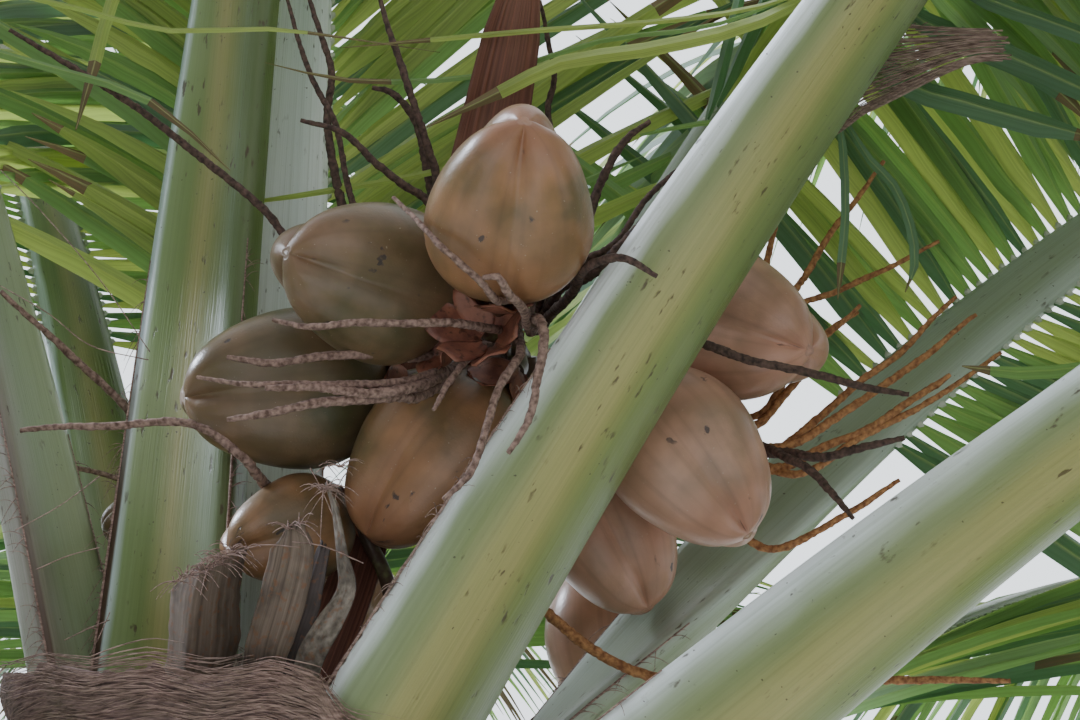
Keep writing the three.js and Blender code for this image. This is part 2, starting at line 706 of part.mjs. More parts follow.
addPiece(crown, "net", sheet(NET.rows.map((row) => row.map(at)), NET.thickness), "husk", NET.rows[0][0]);

// Leaflets are dealt out from the tips inwards, so that each frond keeps its far reach.
const leaflets = FRONDS.map(() => new Map());
for (let station = LEAFLET.pairs - 1; station >= 0; station -= 1) {
  FRONDS.forEach((frond, i) => dealLeaflets(frond, `frond_${i + 1}`, lines[i], station, leaflets[i]));
}

// A frond that bows far is two pieces, the outer one a hair's breadth beyond the inner one.
FRONDS.forEach((frond, i) => {
  const name = `frond_${i + 1}`;
  const foot = at(frond.foot);
  const split = frond.bow >= SPLIT_FROM_BOW;
  const cut = split ? bladeShares(frond).find((share) => share > SPLIT_AT) : 1;
  const inner = frondSolid(frond, lines[i], leaflets[i], 0, cut);
  const rooted = biggest(inner.subtract(roots[i]));
  if (!split) {
    addMesh(crown, name, rooted, "stalk", foot);
    return;
  }
  const { place, along } = pointOn(lines[i], cut);
  const back = along.clone().negate();
  addMesh(crown, `${name}_inner`, rooted.trimByPlane(back.toArray(), back.dot(place) + CLEAR), "stalk", foot);
  addMesh(crown, `${name}_outer`, frondSolid(frond, lines[i], leaflets[i], cut, 1), "stalk", place);
});

export default palm;
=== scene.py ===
# %% [markdown]
# # A dwarf coconut palm in fruit
#
# A coconut palm is a very orderly plant. Every leaf follows one plan, a thick waxy stalk that turns
# into a rib with two rows of narrow leaflets, and every nut has the same three-sided husk. So this
# lesson writes the plan down once, as a rule with a few sizes, and lets the rule grow the whole
# crown. What the eye wants on top of that is small disorder: each leaflet hangs a little differently.

# %% The frame
import math

import bpy
import numpy as np
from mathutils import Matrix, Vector
from mathutils.bvhtree import BVHTree


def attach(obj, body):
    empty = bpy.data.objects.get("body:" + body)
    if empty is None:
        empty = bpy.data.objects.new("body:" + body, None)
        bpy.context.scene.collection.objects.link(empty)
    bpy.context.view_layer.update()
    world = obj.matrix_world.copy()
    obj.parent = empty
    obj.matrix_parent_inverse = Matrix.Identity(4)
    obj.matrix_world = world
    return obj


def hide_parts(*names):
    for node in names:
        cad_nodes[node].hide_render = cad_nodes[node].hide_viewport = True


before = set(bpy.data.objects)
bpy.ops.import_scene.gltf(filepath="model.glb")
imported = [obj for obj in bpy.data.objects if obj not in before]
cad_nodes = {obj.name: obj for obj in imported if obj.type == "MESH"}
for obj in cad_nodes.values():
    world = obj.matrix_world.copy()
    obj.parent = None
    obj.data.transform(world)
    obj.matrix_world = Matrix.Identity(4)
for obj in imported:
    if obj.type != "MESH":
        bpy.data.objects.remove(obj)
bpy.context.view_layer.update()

chance = np.random.default_rng(7)
UP = np.array([0.0, 0.0, 1.0])

# %% [markdown]
# ## Places
#
# The crown is measured from a point on the trunk's axis, because the trunk leans and the leaves do not
# care how tall it is. Places are written in millimetres from there, as a gardener would measure them,
# and one helper turns them into metres in the frame that the solids use. Azimuth 0 points towards
# the viewer, 90 to the viewer's right, and rise is the angle above level.

# %% Places and directions
TRUNK_TOP = 2.680
LEAN = np.array([-0.060, 0.025])
CROWN_HEIGHT = 2.350


def trunk_axis(height):
    """The middle of the leaning trunk at a height, or at each of several heights."""
    height = np.asarray(height, float)
    share = (height / TRUNK_TOP) ** 2
    return np.stack([LEAN[0] * share, LEAN[1] * share, height], axis=-1)


CROWN = trunk_axis(CROWN_HEIGHT)


def place(*millimetres):
    """A place, or a list of places, measured from the crown's middle."""
    return CROWN + np.array(millimetres if len(millimetres) > 1 else millimetres[0], float) / 1000


def direction(azimuth, rise):
    azimuth, rise = np.broadcast_arrays(np.radians(azimuth), np.radians(rise))
    return np.stack([np.sin(azimuth) * np.cos(rise), -np.cos(azimuth) * np.cos(rise), np.sin(rise)], -1)


def unit(vectors):
    return vectors / np.linalg.norm(vectors, axis=-1, keepdims=True)


def smooth(x, low, high):
    """Climbs from 0 at low to 1 at high, flat at both ends."""
    t = np.clip((np.asarray(x, float) - low) / (high - low), 0, 1)
    return t * t * (3 - 2 * t)


def read_off(share, values):
    """The value at a share of the way through a row of evenly spaced values."""
    return np.interp(share, np.linspace(0, 1, len(values)), values)


print("crown's middle", CROWN.round(3))

# %% [markdown]
# ## The camera
#
# The viewer stands below the crown, three metres from the bunch of nuts, and looks up into it. A long
# lens keeps the leaf stalks from spreading apart, so the lens comes from the width that the picture
# should cover at the nuts.

# %% The camera
VIEW_TARGET = place(320, -280, 550)
VIEW_TILT = math.radians(20)
VIEW_DISTANCE = 3.0
VIEW_WIDTH = 1.026
SENSOR = 36.0

lens = bpy.data.cameras.new("camera")
lens.sensor_width = SENSOR
lens.lens = SENSOR * VIEW_DISTANCE / VIEW_WIDTH
camera = bpy.data.objects.new("camera", lens)
look = np.array([0, math.cos(VIEW_TILT), math.sin(VIEW_TILT)])
camera.location = VIEW_TARGET - VIEW_DISTANCE * look
camera.rotation_euler = (math.radians(90) + VIEW_TILT, 0, 0)
bpy.context.scene.collection.objects.link(camera)
bpy.context.scene.camera = camera
print("lens", round(lens.lens, 1), "mm")

# %% [markdown]
# ## Floor and light
#
# The light is that of a bright overcast day in a studio: a pale sky all round, brighter behind the
# plant, and a soft lamp high behind the left shoulder of the crown. It leaves the near sides in quiet
# shade and draws a cool line along every waxy edge. A second, far weaker lamp in front on the right
# opens that shade a little.

# %% One helper for every node
def add(tree, kind, inputs=(), **settings):
    """Adds a node, sets what it is told, and links or fills its sockets by name or number."""
    node = tree.nodes.new(kind)
    for key, value in settings.items():
        setattr(node, key, value)
    for key, value in dict(inputs).items():
        if isinstance(value, bpy.types.NodeSocket):
            tree.links.new(value, node.inputs[key])
        else:
            node.inputs[key].default_value = value
    return node


def linear(hex_colour):
    """An sRGB hex colour as the linear values that shaders take."""
    parts = [int(hex_colour[i : i + 2], 16) / 255 for i in (1, 3, 5)]
    return [p / 12.92 if p <= 0.04045 else ((p + 0.055) / 1.055) ** 2.4 for p in parts] + [1.0]


# %% Sky, lamps and floor
def overcast_sky():
    world = bpy.data.worlds.new("overcast_sky")
    bpy.context.scene.world = world
    world.use_nodes = True
    tree = world.node_tree
    tree.nodes.clear()
    where = add(tree, "ShaderNodeTexCoord")
    axes = add(tree, "ShaderNodeSeparateXYZ", {0: where.outputs["Generated"]})
    behind = add(tree, "ShaderNodeMapRange", {0: axes.outputs["Y"], 1: -0.5, 2: 0.75, 3: 0.5, 4: 2.4})
    sky = add(tree, "ShaderNodeBackground", {"Color": linear("#e6edf3"), "Strength": behind.outputs[0]})
    add(tree, "ShaderNodeOutputWorld", {"Surface": sky.outputs[0]})


def lamp(name, towards, strength, softness, colour):
    light = bpy.data.lights.new(name, "SUN")
    light.energy = strength
    light.angle = math.radians(softness)
    light.color = linear(colour)[:3]
    stand = bpy.data.objects.new(name, light)
    stand.rotation_euler = Vector(towards).to_track_quat("-Z", "Y").to_euler()
    bpy.context.scene.collection.objects.link(stand)


FLOOR_RADIUS = 60
FLOOR_CORNERS = 64
FLOOR_HEIGHT = -0.0005


def floor():
    mesh = bpy.data.meshes.new("studio_floor")
    turn = np.linspace(0, 2 * np.pi, FLOOR_CORNERS, endpoint=False)
    corners = np.stack([FLOOR_RADIUS * np.cos(turn), FLOOR_RADIUS * np.sin(turn), 0 * turn + FLOOR_HEIGHT], 1)
    mesh.from_pydata(corners.tolist(), [], [list(range(FLOOR_CORNERS))])
    stand = bpy.data.objects.new("studio_floor", mesh)
    bpy.context.scene.collection.objects.link(stand)
    material = bpy.data.materials.new("pale_floor_paint")
    material.use_nodes = True
    shader = material.node_tree.nodes["Principled BSDF"]
    shader.inputs["Base Color"].default_value = linear("#d9d7d2")
    shader.inputs["Roughness"].default_value = 0.9
    mesh.materials.append(material)


overcast_sky()
lamp("rim_lamp", (0.76, -0.26, -0.60), 6.5, 20, "#e4eeff")
lamp("fill_lamp", (-0.35, 0.85, -0.25), 0.35, 60, "#fff2e0")
floor()

# %% [markdown]
# ## Skins and paths
#
# Two shapes make almost everything here. A skin is a row of rings joined into a closed body: a leaf
# stalk, a nut or a bract. A path is a line with a thickness at each point, which Geometry Nodes turn
# into a leaflet, a twig or a fibre. A skin carries a UV map in plain units, so that a pattern can run
# along the piece: U goes once round it and V is the distance along it in metres.

# %% A skin through a row of rings
def skin(name, rings, around=None):
    """A closed mesh through rings, an array of (ring, point, xyz), with a fan at each end."""
    count, sides, _ = rings.shape
    if around is None:
        around = np.linspace(0, 1, sides + 1)
    along = np.r_[0, np.cumsum(np.linalg.norm(np.diff(rings.mean(1), axis=0), axis=1))]
    points = np.vstack([rings.reshape(-1, 3), rings[0].mean(0), rings[-1].mean(0)])
    i, j = np.meshgrid(np.arange(count - 1), np.arange(sides), indexing="ij")
    k = (j + 1) % sides
    this, after = i * sides, (i + 1) * sides
    walls = np.stack([this + j, this + k, after + k, after + j], -1).reshape(-1, 4)
    wall_u = np.stack([around[j], around[j + 1], around[j + 1], around[j]], -1).reshape(-1, 4)
    wall_v = np.stack([along[i], along[i], along[i + 1], along[i + 1]], -1).reshape(-1, 4)
    j, k = np.arange(sides), (np.arange(sides) + 1) % sides
    start = np.stack([k, j, np.full(sides, count * sides)], 1)
    last = (count - 1) * sides
    end = np.stack([last + j, last + k, np.full(sides, count * sides + 1)], 1)
    mesh = bpy.data.meshes.new(name)
    mesh.from_pydata(points.tolist(), [], walls.tolist() + start.tolist() + end.tolist())
    fan_u = np.stack([around[j + 1], around[j], around[j]], 1)
    end_u = np.stack([around[j], around[j + 1], around[j]], 1)
    u = np.r_[wall_u.ravel(), fan_u.ravel(), end_u.ravel()]
    v = np.r_[wall_v.ravel(), np.full(3 * sides, along[0]), np.full(3 * sides, along[-1])]
    layer = mesh.uv_layers.new(name="UVMap")
    layer.data.foreach_set("uv", np.stack([u, v], 1).ravel().astype(np.float32))
    mesh.polygons.foreach_set("use_smooth", [True] * len(mesh.polygons))
    outwards(mesh)
    return mesh


def outwards(mesh):
    """Turns a closed mesh right way out, judged by its signed volume."""
    mesh.calc_loop_triangles()
    points = np.array([v.co for v in mesh.vertices])
    corners = np.array([t.vertices for t in mesh.loop_triangles])
    a, b, c = (points[corners[:, k]] for k in range(3))
    if np.einsum("ij,ij->i", a, np.cross(b, c)).sum() < 0:
        mesh.flip_normals()
    mesh.update()


def dress(mesh, material, *nodes, slot):
    """Makes a mesh a piece of the palm: its finish and the solids that it stands for.
    The slot is not used.
    """
    if material is not None:
        mesh.materials.clear()
        mesh.materials.append(material)
    piece = bpy.data.objects.new(mesh.name, mesh)
    bpy.context.scene.collection.objects.link(piece)
    if nodes:
        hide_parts(*nodes)
    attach(piece, "root")
    return piece


def triangles(mesh):
    mesh.calc_loop_triangles()
    return len(mesh.loop_triangles)


# %% Smooth paths through a few places
def path_through(points, spacing):
    """A rounded line through a few places, its points about one spacing apart, and a share for each.

    The share climbs from 0 at the first place to 1 at the last, by the same step from place to place.
    """
    points = np.asarray(points, float)
    ends = np.vstack([2 * points[0] - points[1], points, 2 * points[-1] - points[-2]])
    line = []
    shares = []
    for i in range(len(points) - 1):
        p0, p1, p2, p3 = ends[i : i + 4]
        steps = max(2, int(np.linalg.norm(p2 - p1) / spacing))
        knots = np.cumsum([0, *np.sqrt(np.linalg.norm(np.diff([p0, p1, p2, p3], axis=0), axis=1))])
        for t in np.linspace(knots[1], knots[2], steps, endpoint=False):
            line.append(centripetal((p0, p1, p2, p3), knots, t))
            shares.append(i + (t - knots[1]) / (knots[2] - knots[1]))
    line.append(points[-1])
    shares.append(len(points) - 1)
    return np.array(line), np.array(shares) / (len(points) - 1)


def centripetal(points, knots, t):
    """A point of the smooth curve through four points, at knot t."""
    a = [blend_points(points[i], points[i + 1], knots[i], knots[i + 1], t) for i in range(3)]
    b = [blend_points(a[i], a[i + 1], knots[i], knots[i + 2], t) for i in range(2)]
    return blend_points(b[0], b[1], knots[1], knots[2], t)


def blend_points(a, b, start, end, t):
    return a + (b - a) * (t - start) / (end - start)


# %% [markdown]
# ## Growing along a path
#
# A leaflet is a narrow blade folded along its midrib, and a twig is a knobbly rod. Both follow a
# line, so both are a small Geometry Nodes tree: the line carries its own half width at each point,
# and the tree sweeps a section along it. The section of a leaflet is a flat roof, a few tenths of
# its width high. The section of a twig is a ring, and noise then pushes its skin in and out.

# %% Lines for the trees to grow on
def lines_mesh(name, lines, **columns):
    """A mesh of open lines. Each column is a list, per line, of one number or vector per point."""
    mesh = bpy.data.meshes.new(name)
    counts = [len(line) for line in lines]
    starts = np.r_[0, np.cumsum(counts)[:-1]]
    edges = [np.stack([np.arange(n - 1), np.arange(1, n)], 1) + s for n, s in zip(counts, starts)]
    edges = np.concatenate(edges)
    points = np.concatenate(lines)
    mesh.vertices.add(len(points))
    mesh.vertices.foreach_set("co", points.ravel().astype(np.float32))
    mesh.edges.add(len(edges))
    mesh.edges.foreach_set("vertices", edges.ravel().astype(np.int32))
    for key, values in columns.items():
        values = np.concatenate(values).astype(np.float32)
        kind, slot_name = ("FLOAT_VECTOR", "vector") if values.ndim == 2 else ("FLOAT", "value")
        mesh.attributes.new(key, kind, "POINT").data.foreach_set(slot_name, values.ravel())
    mesh.update()
    return mesh


# %% The start and end of a tree
def new_tree(name, **inputs):
    """An empty tree with a geometry going in and out and a named input for each size."""
    tree = bpy.data.node_groups.new(name, "GeometryNodeTree")
    tree.interface.new_socket("Geometry", in_out="INPUT", socket_type="NodeSocketGeometry")
    kinds = {float: "NodeSocketFloat", int: "NodeSocketInt"}
    for key, value in inputs.items():
        kind = kinds.get(type(value), "NodeSocketMaterial")
        socket = tree.interface.new_socket(key, in_out="INPUT", socket_type=kind)
        if value is not None:
            socket.default_value = value
    tree.interface.new_socket("Geometry", in_out="OUTPUT", socket_type="NodeSocketGeometry")
    start = add(tree, "NodeGroupInput").outputs
    return tree, start


def close_tree(tree, start, geometry):
    """The end of every tree: real geometry with its material on."""
    real = add(tree, "GeometryNodeRealizeInstances", {0: geometry})
    covered = {"Geometry": real.outputs[0], "Material": start["Material"]}
    finished = add(tree, "GeometryNodeSetMaterial", covered)
    add(tree, "NodeGroupOutput", {0: finished.outputs[0]})
    return tree


# %% Steps that the trees share
def maths(tree, operation, *values):
    """The outcome of one step of arithmetic on sockets or plain numbers."""
    return add(tree, "ShaderNodeMath", dict(enumerate(values)), operation=operation).outputs[0]


def carried(tree, name, kind="FLOAT"):
    """A number or vector that the lines carry at each point, by its name."""
    return add(tree, "GeometryNodeInputNamedAttribute", {"Name": name}, data_type=kind).outputs[0]


def swept(tree, curve, section, half):
    """A section drawn along a curve, as large as the curve's half width at each point."""
    inputs = {"Curve": curve, "Profile Curve": section, "Scale": half, "Fill Caps": True}
    return add(tree, "GeometryNodeCurveToMesh", inputs).outputs[0]


def rounded(tree, geometry):
    return add(tree, "GeometryNodeSetShadeSmooth", {"Geometry": geometry, "Shade Smooth": True}).outputs[0]


# %% Growing a piece
def grow(mesh, tree, *nodes, slot, **inputs):
    """Runs a tree on a mesh of lines or points, and makes a piece of the palm from the plain result."""
    name = mesh.name
    stand = bpy.data.objects.new(name + "_lines", mesh)
    bpy.context.scene.collection.objects.link(stand)
    modifier = stand.modifiers.new(tree.name, "NODES")
    modifier.node_group = tree
    sockets = {s.name: s.identifier for s in tree.interface.items_tree if s.in_out == "INPUT"}
    for key, value in inputs.items():
        modifier[sockets[key]] = value
    graph = bpy.context.evaluated_depsgraph_get()
    result = bpy.data.meshes.new_from_object(stand.evaluated_get(graph))
    bpy.data.objects.remove(stand)
    bpy.data.meshes.remove(mesh)
    result.name = name
    print(name, triangles(result), "triangles")
    return dress(result, None, *nodes, slot=slot)


# %% The leaflet tree
SHARP_EDGE = 0.9  # radians, past which an edge of a blade is left crisp


def blade_tree():
    tree, start = new_tree("leaflet_blade", Fold=0.6, Thickness=0.05, Material=None)
    curve = add(tree, "GeometryNodeMeshToCurve", {0: start["Geometry"]})
    facing = {"Curve": curve.outputs[0], "Normal": carried(tree, "face", "FLOAT_VECTOR")}
    turned = add(tree, "GeometryNodeSetCurveNormal", facing, mode="FREE")
    drop = maths(tree, "MULTIPLY", start["Fold"], -1.0)
    under = maths(tree, "MULTIPLY", start["Thickness"], -1.0)
    places = [(drop, -1.0), (start["Thickness"], 0.0), (drop, 1.0), (under, 0.0)]
    corners = [add(tree, "ShaderNodeCombineXYZ", {0: height, 1: across}) for height, across in places]
    points = {f"Point {i + 1}": corner.outputs[0] for i, corner in enumerate(corners)}
    section = add(tree, "GeometryNodeCurvePrimitiveQuadrilateral", points, mode="POINTS")
    middle = maths(tree, "MODULO", add(tree, "GeometryNodeInputIndex").outputs[0], 2.0)
    mark = {"Geometry": section.outputs[0], "Name": "midrib", "Value": middle}
    marked = add(tree, "GeometryNodeStoreNamedAttribute", mark, data_type="FLOAT", domain="POINT")
    blade = rounded(tree, swept(tree, turned.outputs[0], marked.outputs[0], carried(tree, "half")))
    angle = add(tree, "GeometryNodeInputMeshEdgeAngle")
    sharp = add(tree, "FunctionNodeCompare", {0: angle.outputs[0], 1: SHARP_EDGE}, operation="GREATER_THAN")
    crisp = {"Geometry": blade, "Selection": sharp.outputs[0], "Shade Smooth": False}
    edged = add(tree, "GeometryNodeSetShadeSmooth", crisp, domain="EDGE")
    return close_tree(tree, start, edged.outputs[0])


# %% The rod tree
def rod_tree():
    tree, start = new_tree("knobbly_rod", Sides=6, KnobSize=0.006, KnobHeight=0.15, Seed=0, Material=None)
    curve = add(tree, "GeometryNodeMeshToCurve", {0: start["Geometry"]})
    ring = add(tree, "GeometryNodeCurvePrimitiveCircle", {"Resolution": start["Sides"], "Radius": 1.0})
    half = carried(tree, "half")
    kept = add(tree, "GeometryNodeCaptureAttribute", {"Geometry": curve.outputs[0]})
    kept.capture_items.new("FLOAT", "half")
    tree.links.new(half, kept.inputs[1])
    rod = swept(tree, kept.outputs[0], ring.outputs[0], half)
    fineness = maths(tree, "DIVIDE", 1.0, start["KnobSize"])
    seed = maths(tree, "MULTIPLY", start["Seed"], 7.3)
    pattern = {"W": seed, "Scale": fineness, "Detail": 1.0}
    noise = add(tree, "ShaderNodeTexNoise", pattern, noise_dimensions="4D")
    level = maths(tree, "SUBTRACT", noise.outputs[0], 0.5)
    share = maths(tree, "MULTIPLY", level, start["KnobHeight"])
    height = maths(tree, "MULTIPLY", share, kept.outputs[1])
    outward = {0: add(tree, "GeometryNodeInputNormal").outputs[0], "Scale": height}
    push = add(tree, "ShaderNodeVectorMath", outward, operation="SCALE")
    moved = add(tree, "GeometryNodeSetPosition", {"Geometry": rod, "Offset": push.outputs[0]})
    return close_tree(tree, start, rounded(tree, moved.outputs[0]))


# %% The swelling tree
def swelling_tree():
    """Sets a small round body on each point, stretched along the point's own axis."""
    tree, start = new_tree("swelling", Segments=6, Rings=3, Stretch=1.7, Material=None)
    fineness = {"Segments": start["Segments"], "Rings": start["Rings"], "Radius": 1.0}
    ball = add(tree, "GeometryNodeMeshUVSphere", fineness)
    axis = {"Vector": carried(tree, "face", "FLOAT_VECTOR")}
    turn = add(tree, "FunctionNodeAlignRotationToVector", axis, axis="Z")
    size = carried(tree, "half")
    long = maths(tree, "MULTIPLY", size, start["Stretch"])
    sizes = add(tree, "ShaderNodeCombineXYZ", {0: size, 1: size, 2: long})
    points = add(tree, "GeometryNodeMeshToPoints", {0: start["Geometry"]})
    sockets = zip(("Points", "Instance", "Rotation", "Scale"), (points, ball, turn, sizes))
    set_on = add(tree, "GeometryNodeInstanceOnPoints", {key: node.outputs[0] for key, node in sockets})
    return close_tree(tree, start, rounded(tree, set_on.outputs[0]))


BLADES, RODS, SWELLINGS = blade_tree(), rod_tree(), swelling_tree()

# %% [markdown]
# ## Finishes
#
# Nearly everything on the palm is a skin with wax on it, or the same skin gone dry. A helper sets up
# one Principled shader with a bump, and each finish then adds its own colour story. Patterns that
# run along a piece read its UV map. Patterns that simply lie everywhere read object coordinates, in
# metres, so their scales are one over a real size.

# %% The start of every finish
WAX_SHEEN = 0.35  # how blurred the light looks in a coat of wax


class Finish:
    """A material in the making: its tree, its shader and short ways to add patterns."""

    def __init__(self, name, roughness, coat=0.0):
        self.material = bpy.data.materials.new(name)
        self.material.use_nodes = True
        self.tree = self.material.node_tree
        self.shader = self.tree.nodes["Principled BSDF"]
        self.where = add(self.tree, "ShaderNodeTexCoord")
        self.shader.inputs["Roughness"].default_value = roughness
        self.shader.inputs["Coat Weight"].default_value = coat
        self.shader.inputs["Coat Roughness"].default_value = WAX_SHEEN

    def add(self, kind, inputs=(), **settings):
        return add(self.tree, kind, inputs, **settings)

    def noise(self, size, stretch=(1, 1, 1), source="Object", detail=3.0, offset=(0, 0, 0)):
        """Noise whose blotches are one size across, in metres, stretched along each axis."""
        scale = [1 / (size * s) for s in stretch]
        laid = {"Vector": self.where.outputs[source], "Scale": scale, "Location": offset}
        mapped = self.add("ShaderNodeMapping", laid).outputs[0]
        return self.add("ShaderNodeTexNoise", {"Vector": mapped, "Scale": 1.0, "Detail": detail}).outputs[0]

    def grain(self, round_share, length, detail, offset=(0, 0, 0)):
        """Noise on the UV map: blotches a share of the way round the piece and a length along it."""
        return self.noise(1.0, (round_share, length, 1), "UV", detail, offset)

    def spread(self, value, low, high, to_low=0.0, to_high=1.0):
        node = self.add("ShaderNodeMapRange", {0: value, 1: low, 2: high, 3: to_low, 4: to_high})
        return node.outputs[0]

    def maths(self, operation, *values):
        return maths(self.tree, operation, *values)

    def times(self, a, b):
        return self.maths("MULTIPLY", a, b)

    def mix(self, share, first, second):
        first, second = [linear(c) if isinstance(c, str) else c for c in (first, second)]
        return self.add("ShaderNodeMix", {0: share, 6: first, 7: second}, data_type="RGBA").outputs[2]

    def over(self, tone, pattern, low, high, colour, most=1.0):
        """A colour laid over the tone, more of it as a pattern climbs from low to high."""
        return self.mix(self.spread(pattern, low, high, 0.0, most), tone, colour)

    def ramp(self, value, *stops):
        """A colour for each value, given as (value, hex colour) stops."""
        node = self.add("ShaderNodeValToRGB", {0: value})
        elements = node.color_ramp.elements
        while len(elements) < len(stops):
            elements.new(0.5)
        for element, (at, colour) in zip(elements, stops):
            element.position = at
            element.color = linear(colour)
        return node.outputs[0]

    def along(self):
        """U, once round the piece, and V, the metres along it."""
        return self.add("ShaderNodeSeparateXYZ", {0: self.where.outputs["UV"]}).outputs

    def finish(self, colour, height=None, depth=0.001, roughness=None):
        if isinstance(colour, str):
            self.shader.inputs["Base Color"].default_value = linear(colour)
        else:
            self.tree.links.new(colour, self.shader.inputs["Base Color"])
        if height is not None:
            bump = self.add("ShaderNodeBump", {"Height": height, "Distance": depth, "Strength": 1.0})
            self.tree.links.new(bump.outputs[0], self.shader.inputs["Normal"])
        if roughness is not None:
            self.tree.links.new(roughness, self.shader.inputs["Roughness"])
        return self.material


# %% [markdown]
# ### Waxy leaf stalk
#
# The stalk of a coconut leaf is smooth and firm like a green pepper, with a thin grey bloom of wax
# on the side that faces the sky. Below, a warm yellow band runs along the keel between two green
# shoulders. A near-white band along a margin, whitest higher up, is a painted highlight, and a few
# stalks are painted near white all round as painted light. Old bruises show as rust-brown flecks
# drawn out along the grain, and the thin margins are dead brown fibre near the foot.

# %% Stalk finish
RIM_U = 0.65  # U runs round the keel from the right-hand margin at 0 to the left-hand one here

# Bands of colour round a stalk as (U, colour), from the right-hand margin over the keel to the
# left-hand one, then back over the sky side. Each stalk has its own set. The near-white stops at a
# margin are painted highlights, and the set that is near white all round is painted light for
# stalks that would otherwise stand in shade.
BANDS = {
    # the near-white stops at the right-hand margin are a painted highlight
    "pale": [
        (0.0, "#f0f4f5"), (0.022, "#dfe6e4"), (0.045, "#93a07c"), (0.09, "#848f5b"), (0.14, "#a8a268"),
        (0.21, "#b3aa70"), (0.28, "#8c9656"), (0.38, "#75864a"), (0.5, "#76864f"), (0.64, "#9aa588"),
        (0.9, "#93a187"), (0.96, "#e6eceb"),
    ],
    # the near-white stops at the left-hand margin, U 0.64 to 0.672, are a painted highlight
    "fresh": [
        (0.0, "#5f6e45"), (0.15, "#687846"), (0.32, "#86864f"), (0.5, "#687a45"), (0.6, "#8b9d86"),
        (0.64, "#d3e2e6"), (0.672, "#d3e2e6"), (0.695, "#849864"), (0.76, "#74854a"), (0.82, "#999259"),
        (0.87, "#7a7f43"), (0.93, "#5d6d3c"),
    ],
    "grey": [
        (0.0, "#b9c3b8"), (0.06, "#929d7f"), (0.2, "#818d62"), (0.33, "#929462"), (0.5, "#808c66"),
        (0.64, "#b0bbb2"), (0.72, "#97a390"), (0.85, "#929d84"), (0.95, "#aeb8ac"),
    ],
    # painted light: near white all round, for stalks that would otherwise stand in shade
    "frost": [
        (0.0, "#f4f8f8"), (0.2, "#e2eae9"), (0.4, "#d3ddd7"), (0.55, "#e6eeed"), (0.65, "#f4f8f8"),
        (0.85, "#dbe4e1"),
    ],
    "deep": [
        (0.0, "#77835c"), (0.1, "#55613a"), (0.33, "#6c6b41"), (0.55, "#525f38"), (0.66, "#7d8a6c"),
        (0.8, "#5d6a42"), (0.95, "#6c7a55"),
    ],
    "old": [
        (0.0, "#8f9c70"), (0.1, "#a0ac66"), (0.25, "#838f58"), (0.4, "#7a8668"), (0.56, "#847f72"),
        (0.65, "#8f867e"), (0.8, "#8b9976"), (0.95, "#98a57c"),
    ],
    "bunch": [(0.0, "#7b7d4d"), (0.4, "#968a55"), (0.7, "#83824f"), (0.9, "#a2a07e")],
}


def stalk_finish(name, bands, painted_highlight=0.0):
    """Bands round the stalk, grain and flecks. The third argument sets a painted highlight, white on the
    first margin, higher up.
    """
    finish = Finish(name, roughness=0.4, coat=0.1)
    u, v, _ = finish.along()
    wander = finish.noise(0.07, (1, 1, 4), detail=1.0)
    waver = finish.maths("MULTIPLY_ADD", wander, 0.035, -0.0175)
    shifted = finish.maths("ADD", u, waver)
    round_it = finish.maths("WRAP", shifted, 1.0, 0.0)
    tone = finish.ramp(round_it, *bands, (1.0, bands[0][1]))
    # painted highlight: white over the first margin, on the upper part of the stalk
    highlight_mask = finish.times(finish.spread(v, 0.45, 0.75), finish.spread(shifted, 0.075, 0.045))
    tone = finish.mix(finish.times(highlight_mask, painted_highlight), tone, "#f4f8fa")
    grain = finish.grain(0.010, 0.5, 4.0)
    tone = finish.over(tone, grain, 0.45, 0.8, "#56642f", 0.3)
    cloud = finish.noise(0.16, (1, 1, 1.6), detail=3.0)
    tone = finish.over(tone, cloud, 0.5, 0.75, "#a9ab86", 0.28)
    fleck = finish.grain(0.022, 0.028, 5.0, offset=(3.1, 1.7, 0))
    where_flecked = finish.noise(0.09, (1, 1, 1), offset=(5, 2, 1))
    flecks = finish.times(finish.spread(fleck, 0.62, 0.68), finish.spread(where_flecked, 0.47, 0.56))
    tone = finish.mix(finish.times(flecks, 0.8), tone, "#4a3322")
    speck = finish.noise(0.005, detail=1.0)
    tone = finish.over(tone, speck, 0.76, 0.8, "#3c2a1c", 0.75)
    from_margin = finish.maths("SUBTRACT", u, RIM_U / 2)
    off_keel = finish.maths("ABSOLUTE", from_margin)
    ragged = finish.noise(0.02, detail=4.0, offset=(8, 3, 2))
    edge = finish.maths("MULTIPLY_ADD", ragged, 0.03, off_keel)
    dead = finish.times(finish.spread(edge, 0.333, 0.338), finish.spread(v, 0.62, 0.3))
    fresh_top = finish.spread(u, RIM_U + 0.03, RIM_U + 0.02)
    tone = finish.mix(finish.times(dead, fresh_top), tone, "#5b463a")
    relief = finish.grain(0.006, 0.12, 3.0)
    height = finish.maths("MULTIPLY_ADD", flecks, -0.5, relief)
    return finish.finish(tone, height, 0.0006, finish.spread(cloud, 0.35, 0.7, 0.34, 0.5))


# the pale stalks take the painted highlight in full, the broad one a weaker one, the rest none
STALK_FINISHES = {
    key: stalk_finish(f"waxy_stalk_{key}", bands, 1.0 if key == "pale" else 0.0)
    for key, bands in BANDS.items()
}
STALK_FINISHES["broad"] = stalk_finish("waxy_stalk_broad", BANDS["pale"], 0.3)

# %% [markdown]
# ### Leaflets
#
# Leaflets are tough, with a satin face and a little light coming through. Whole leaflets differ in
# colour: young ones are yellow-green, old ones deep green, and many end in a dry brown tip. So there
# is one finish for each tint, nearly plain, and the tints are dealt out leaflet by leaflet.

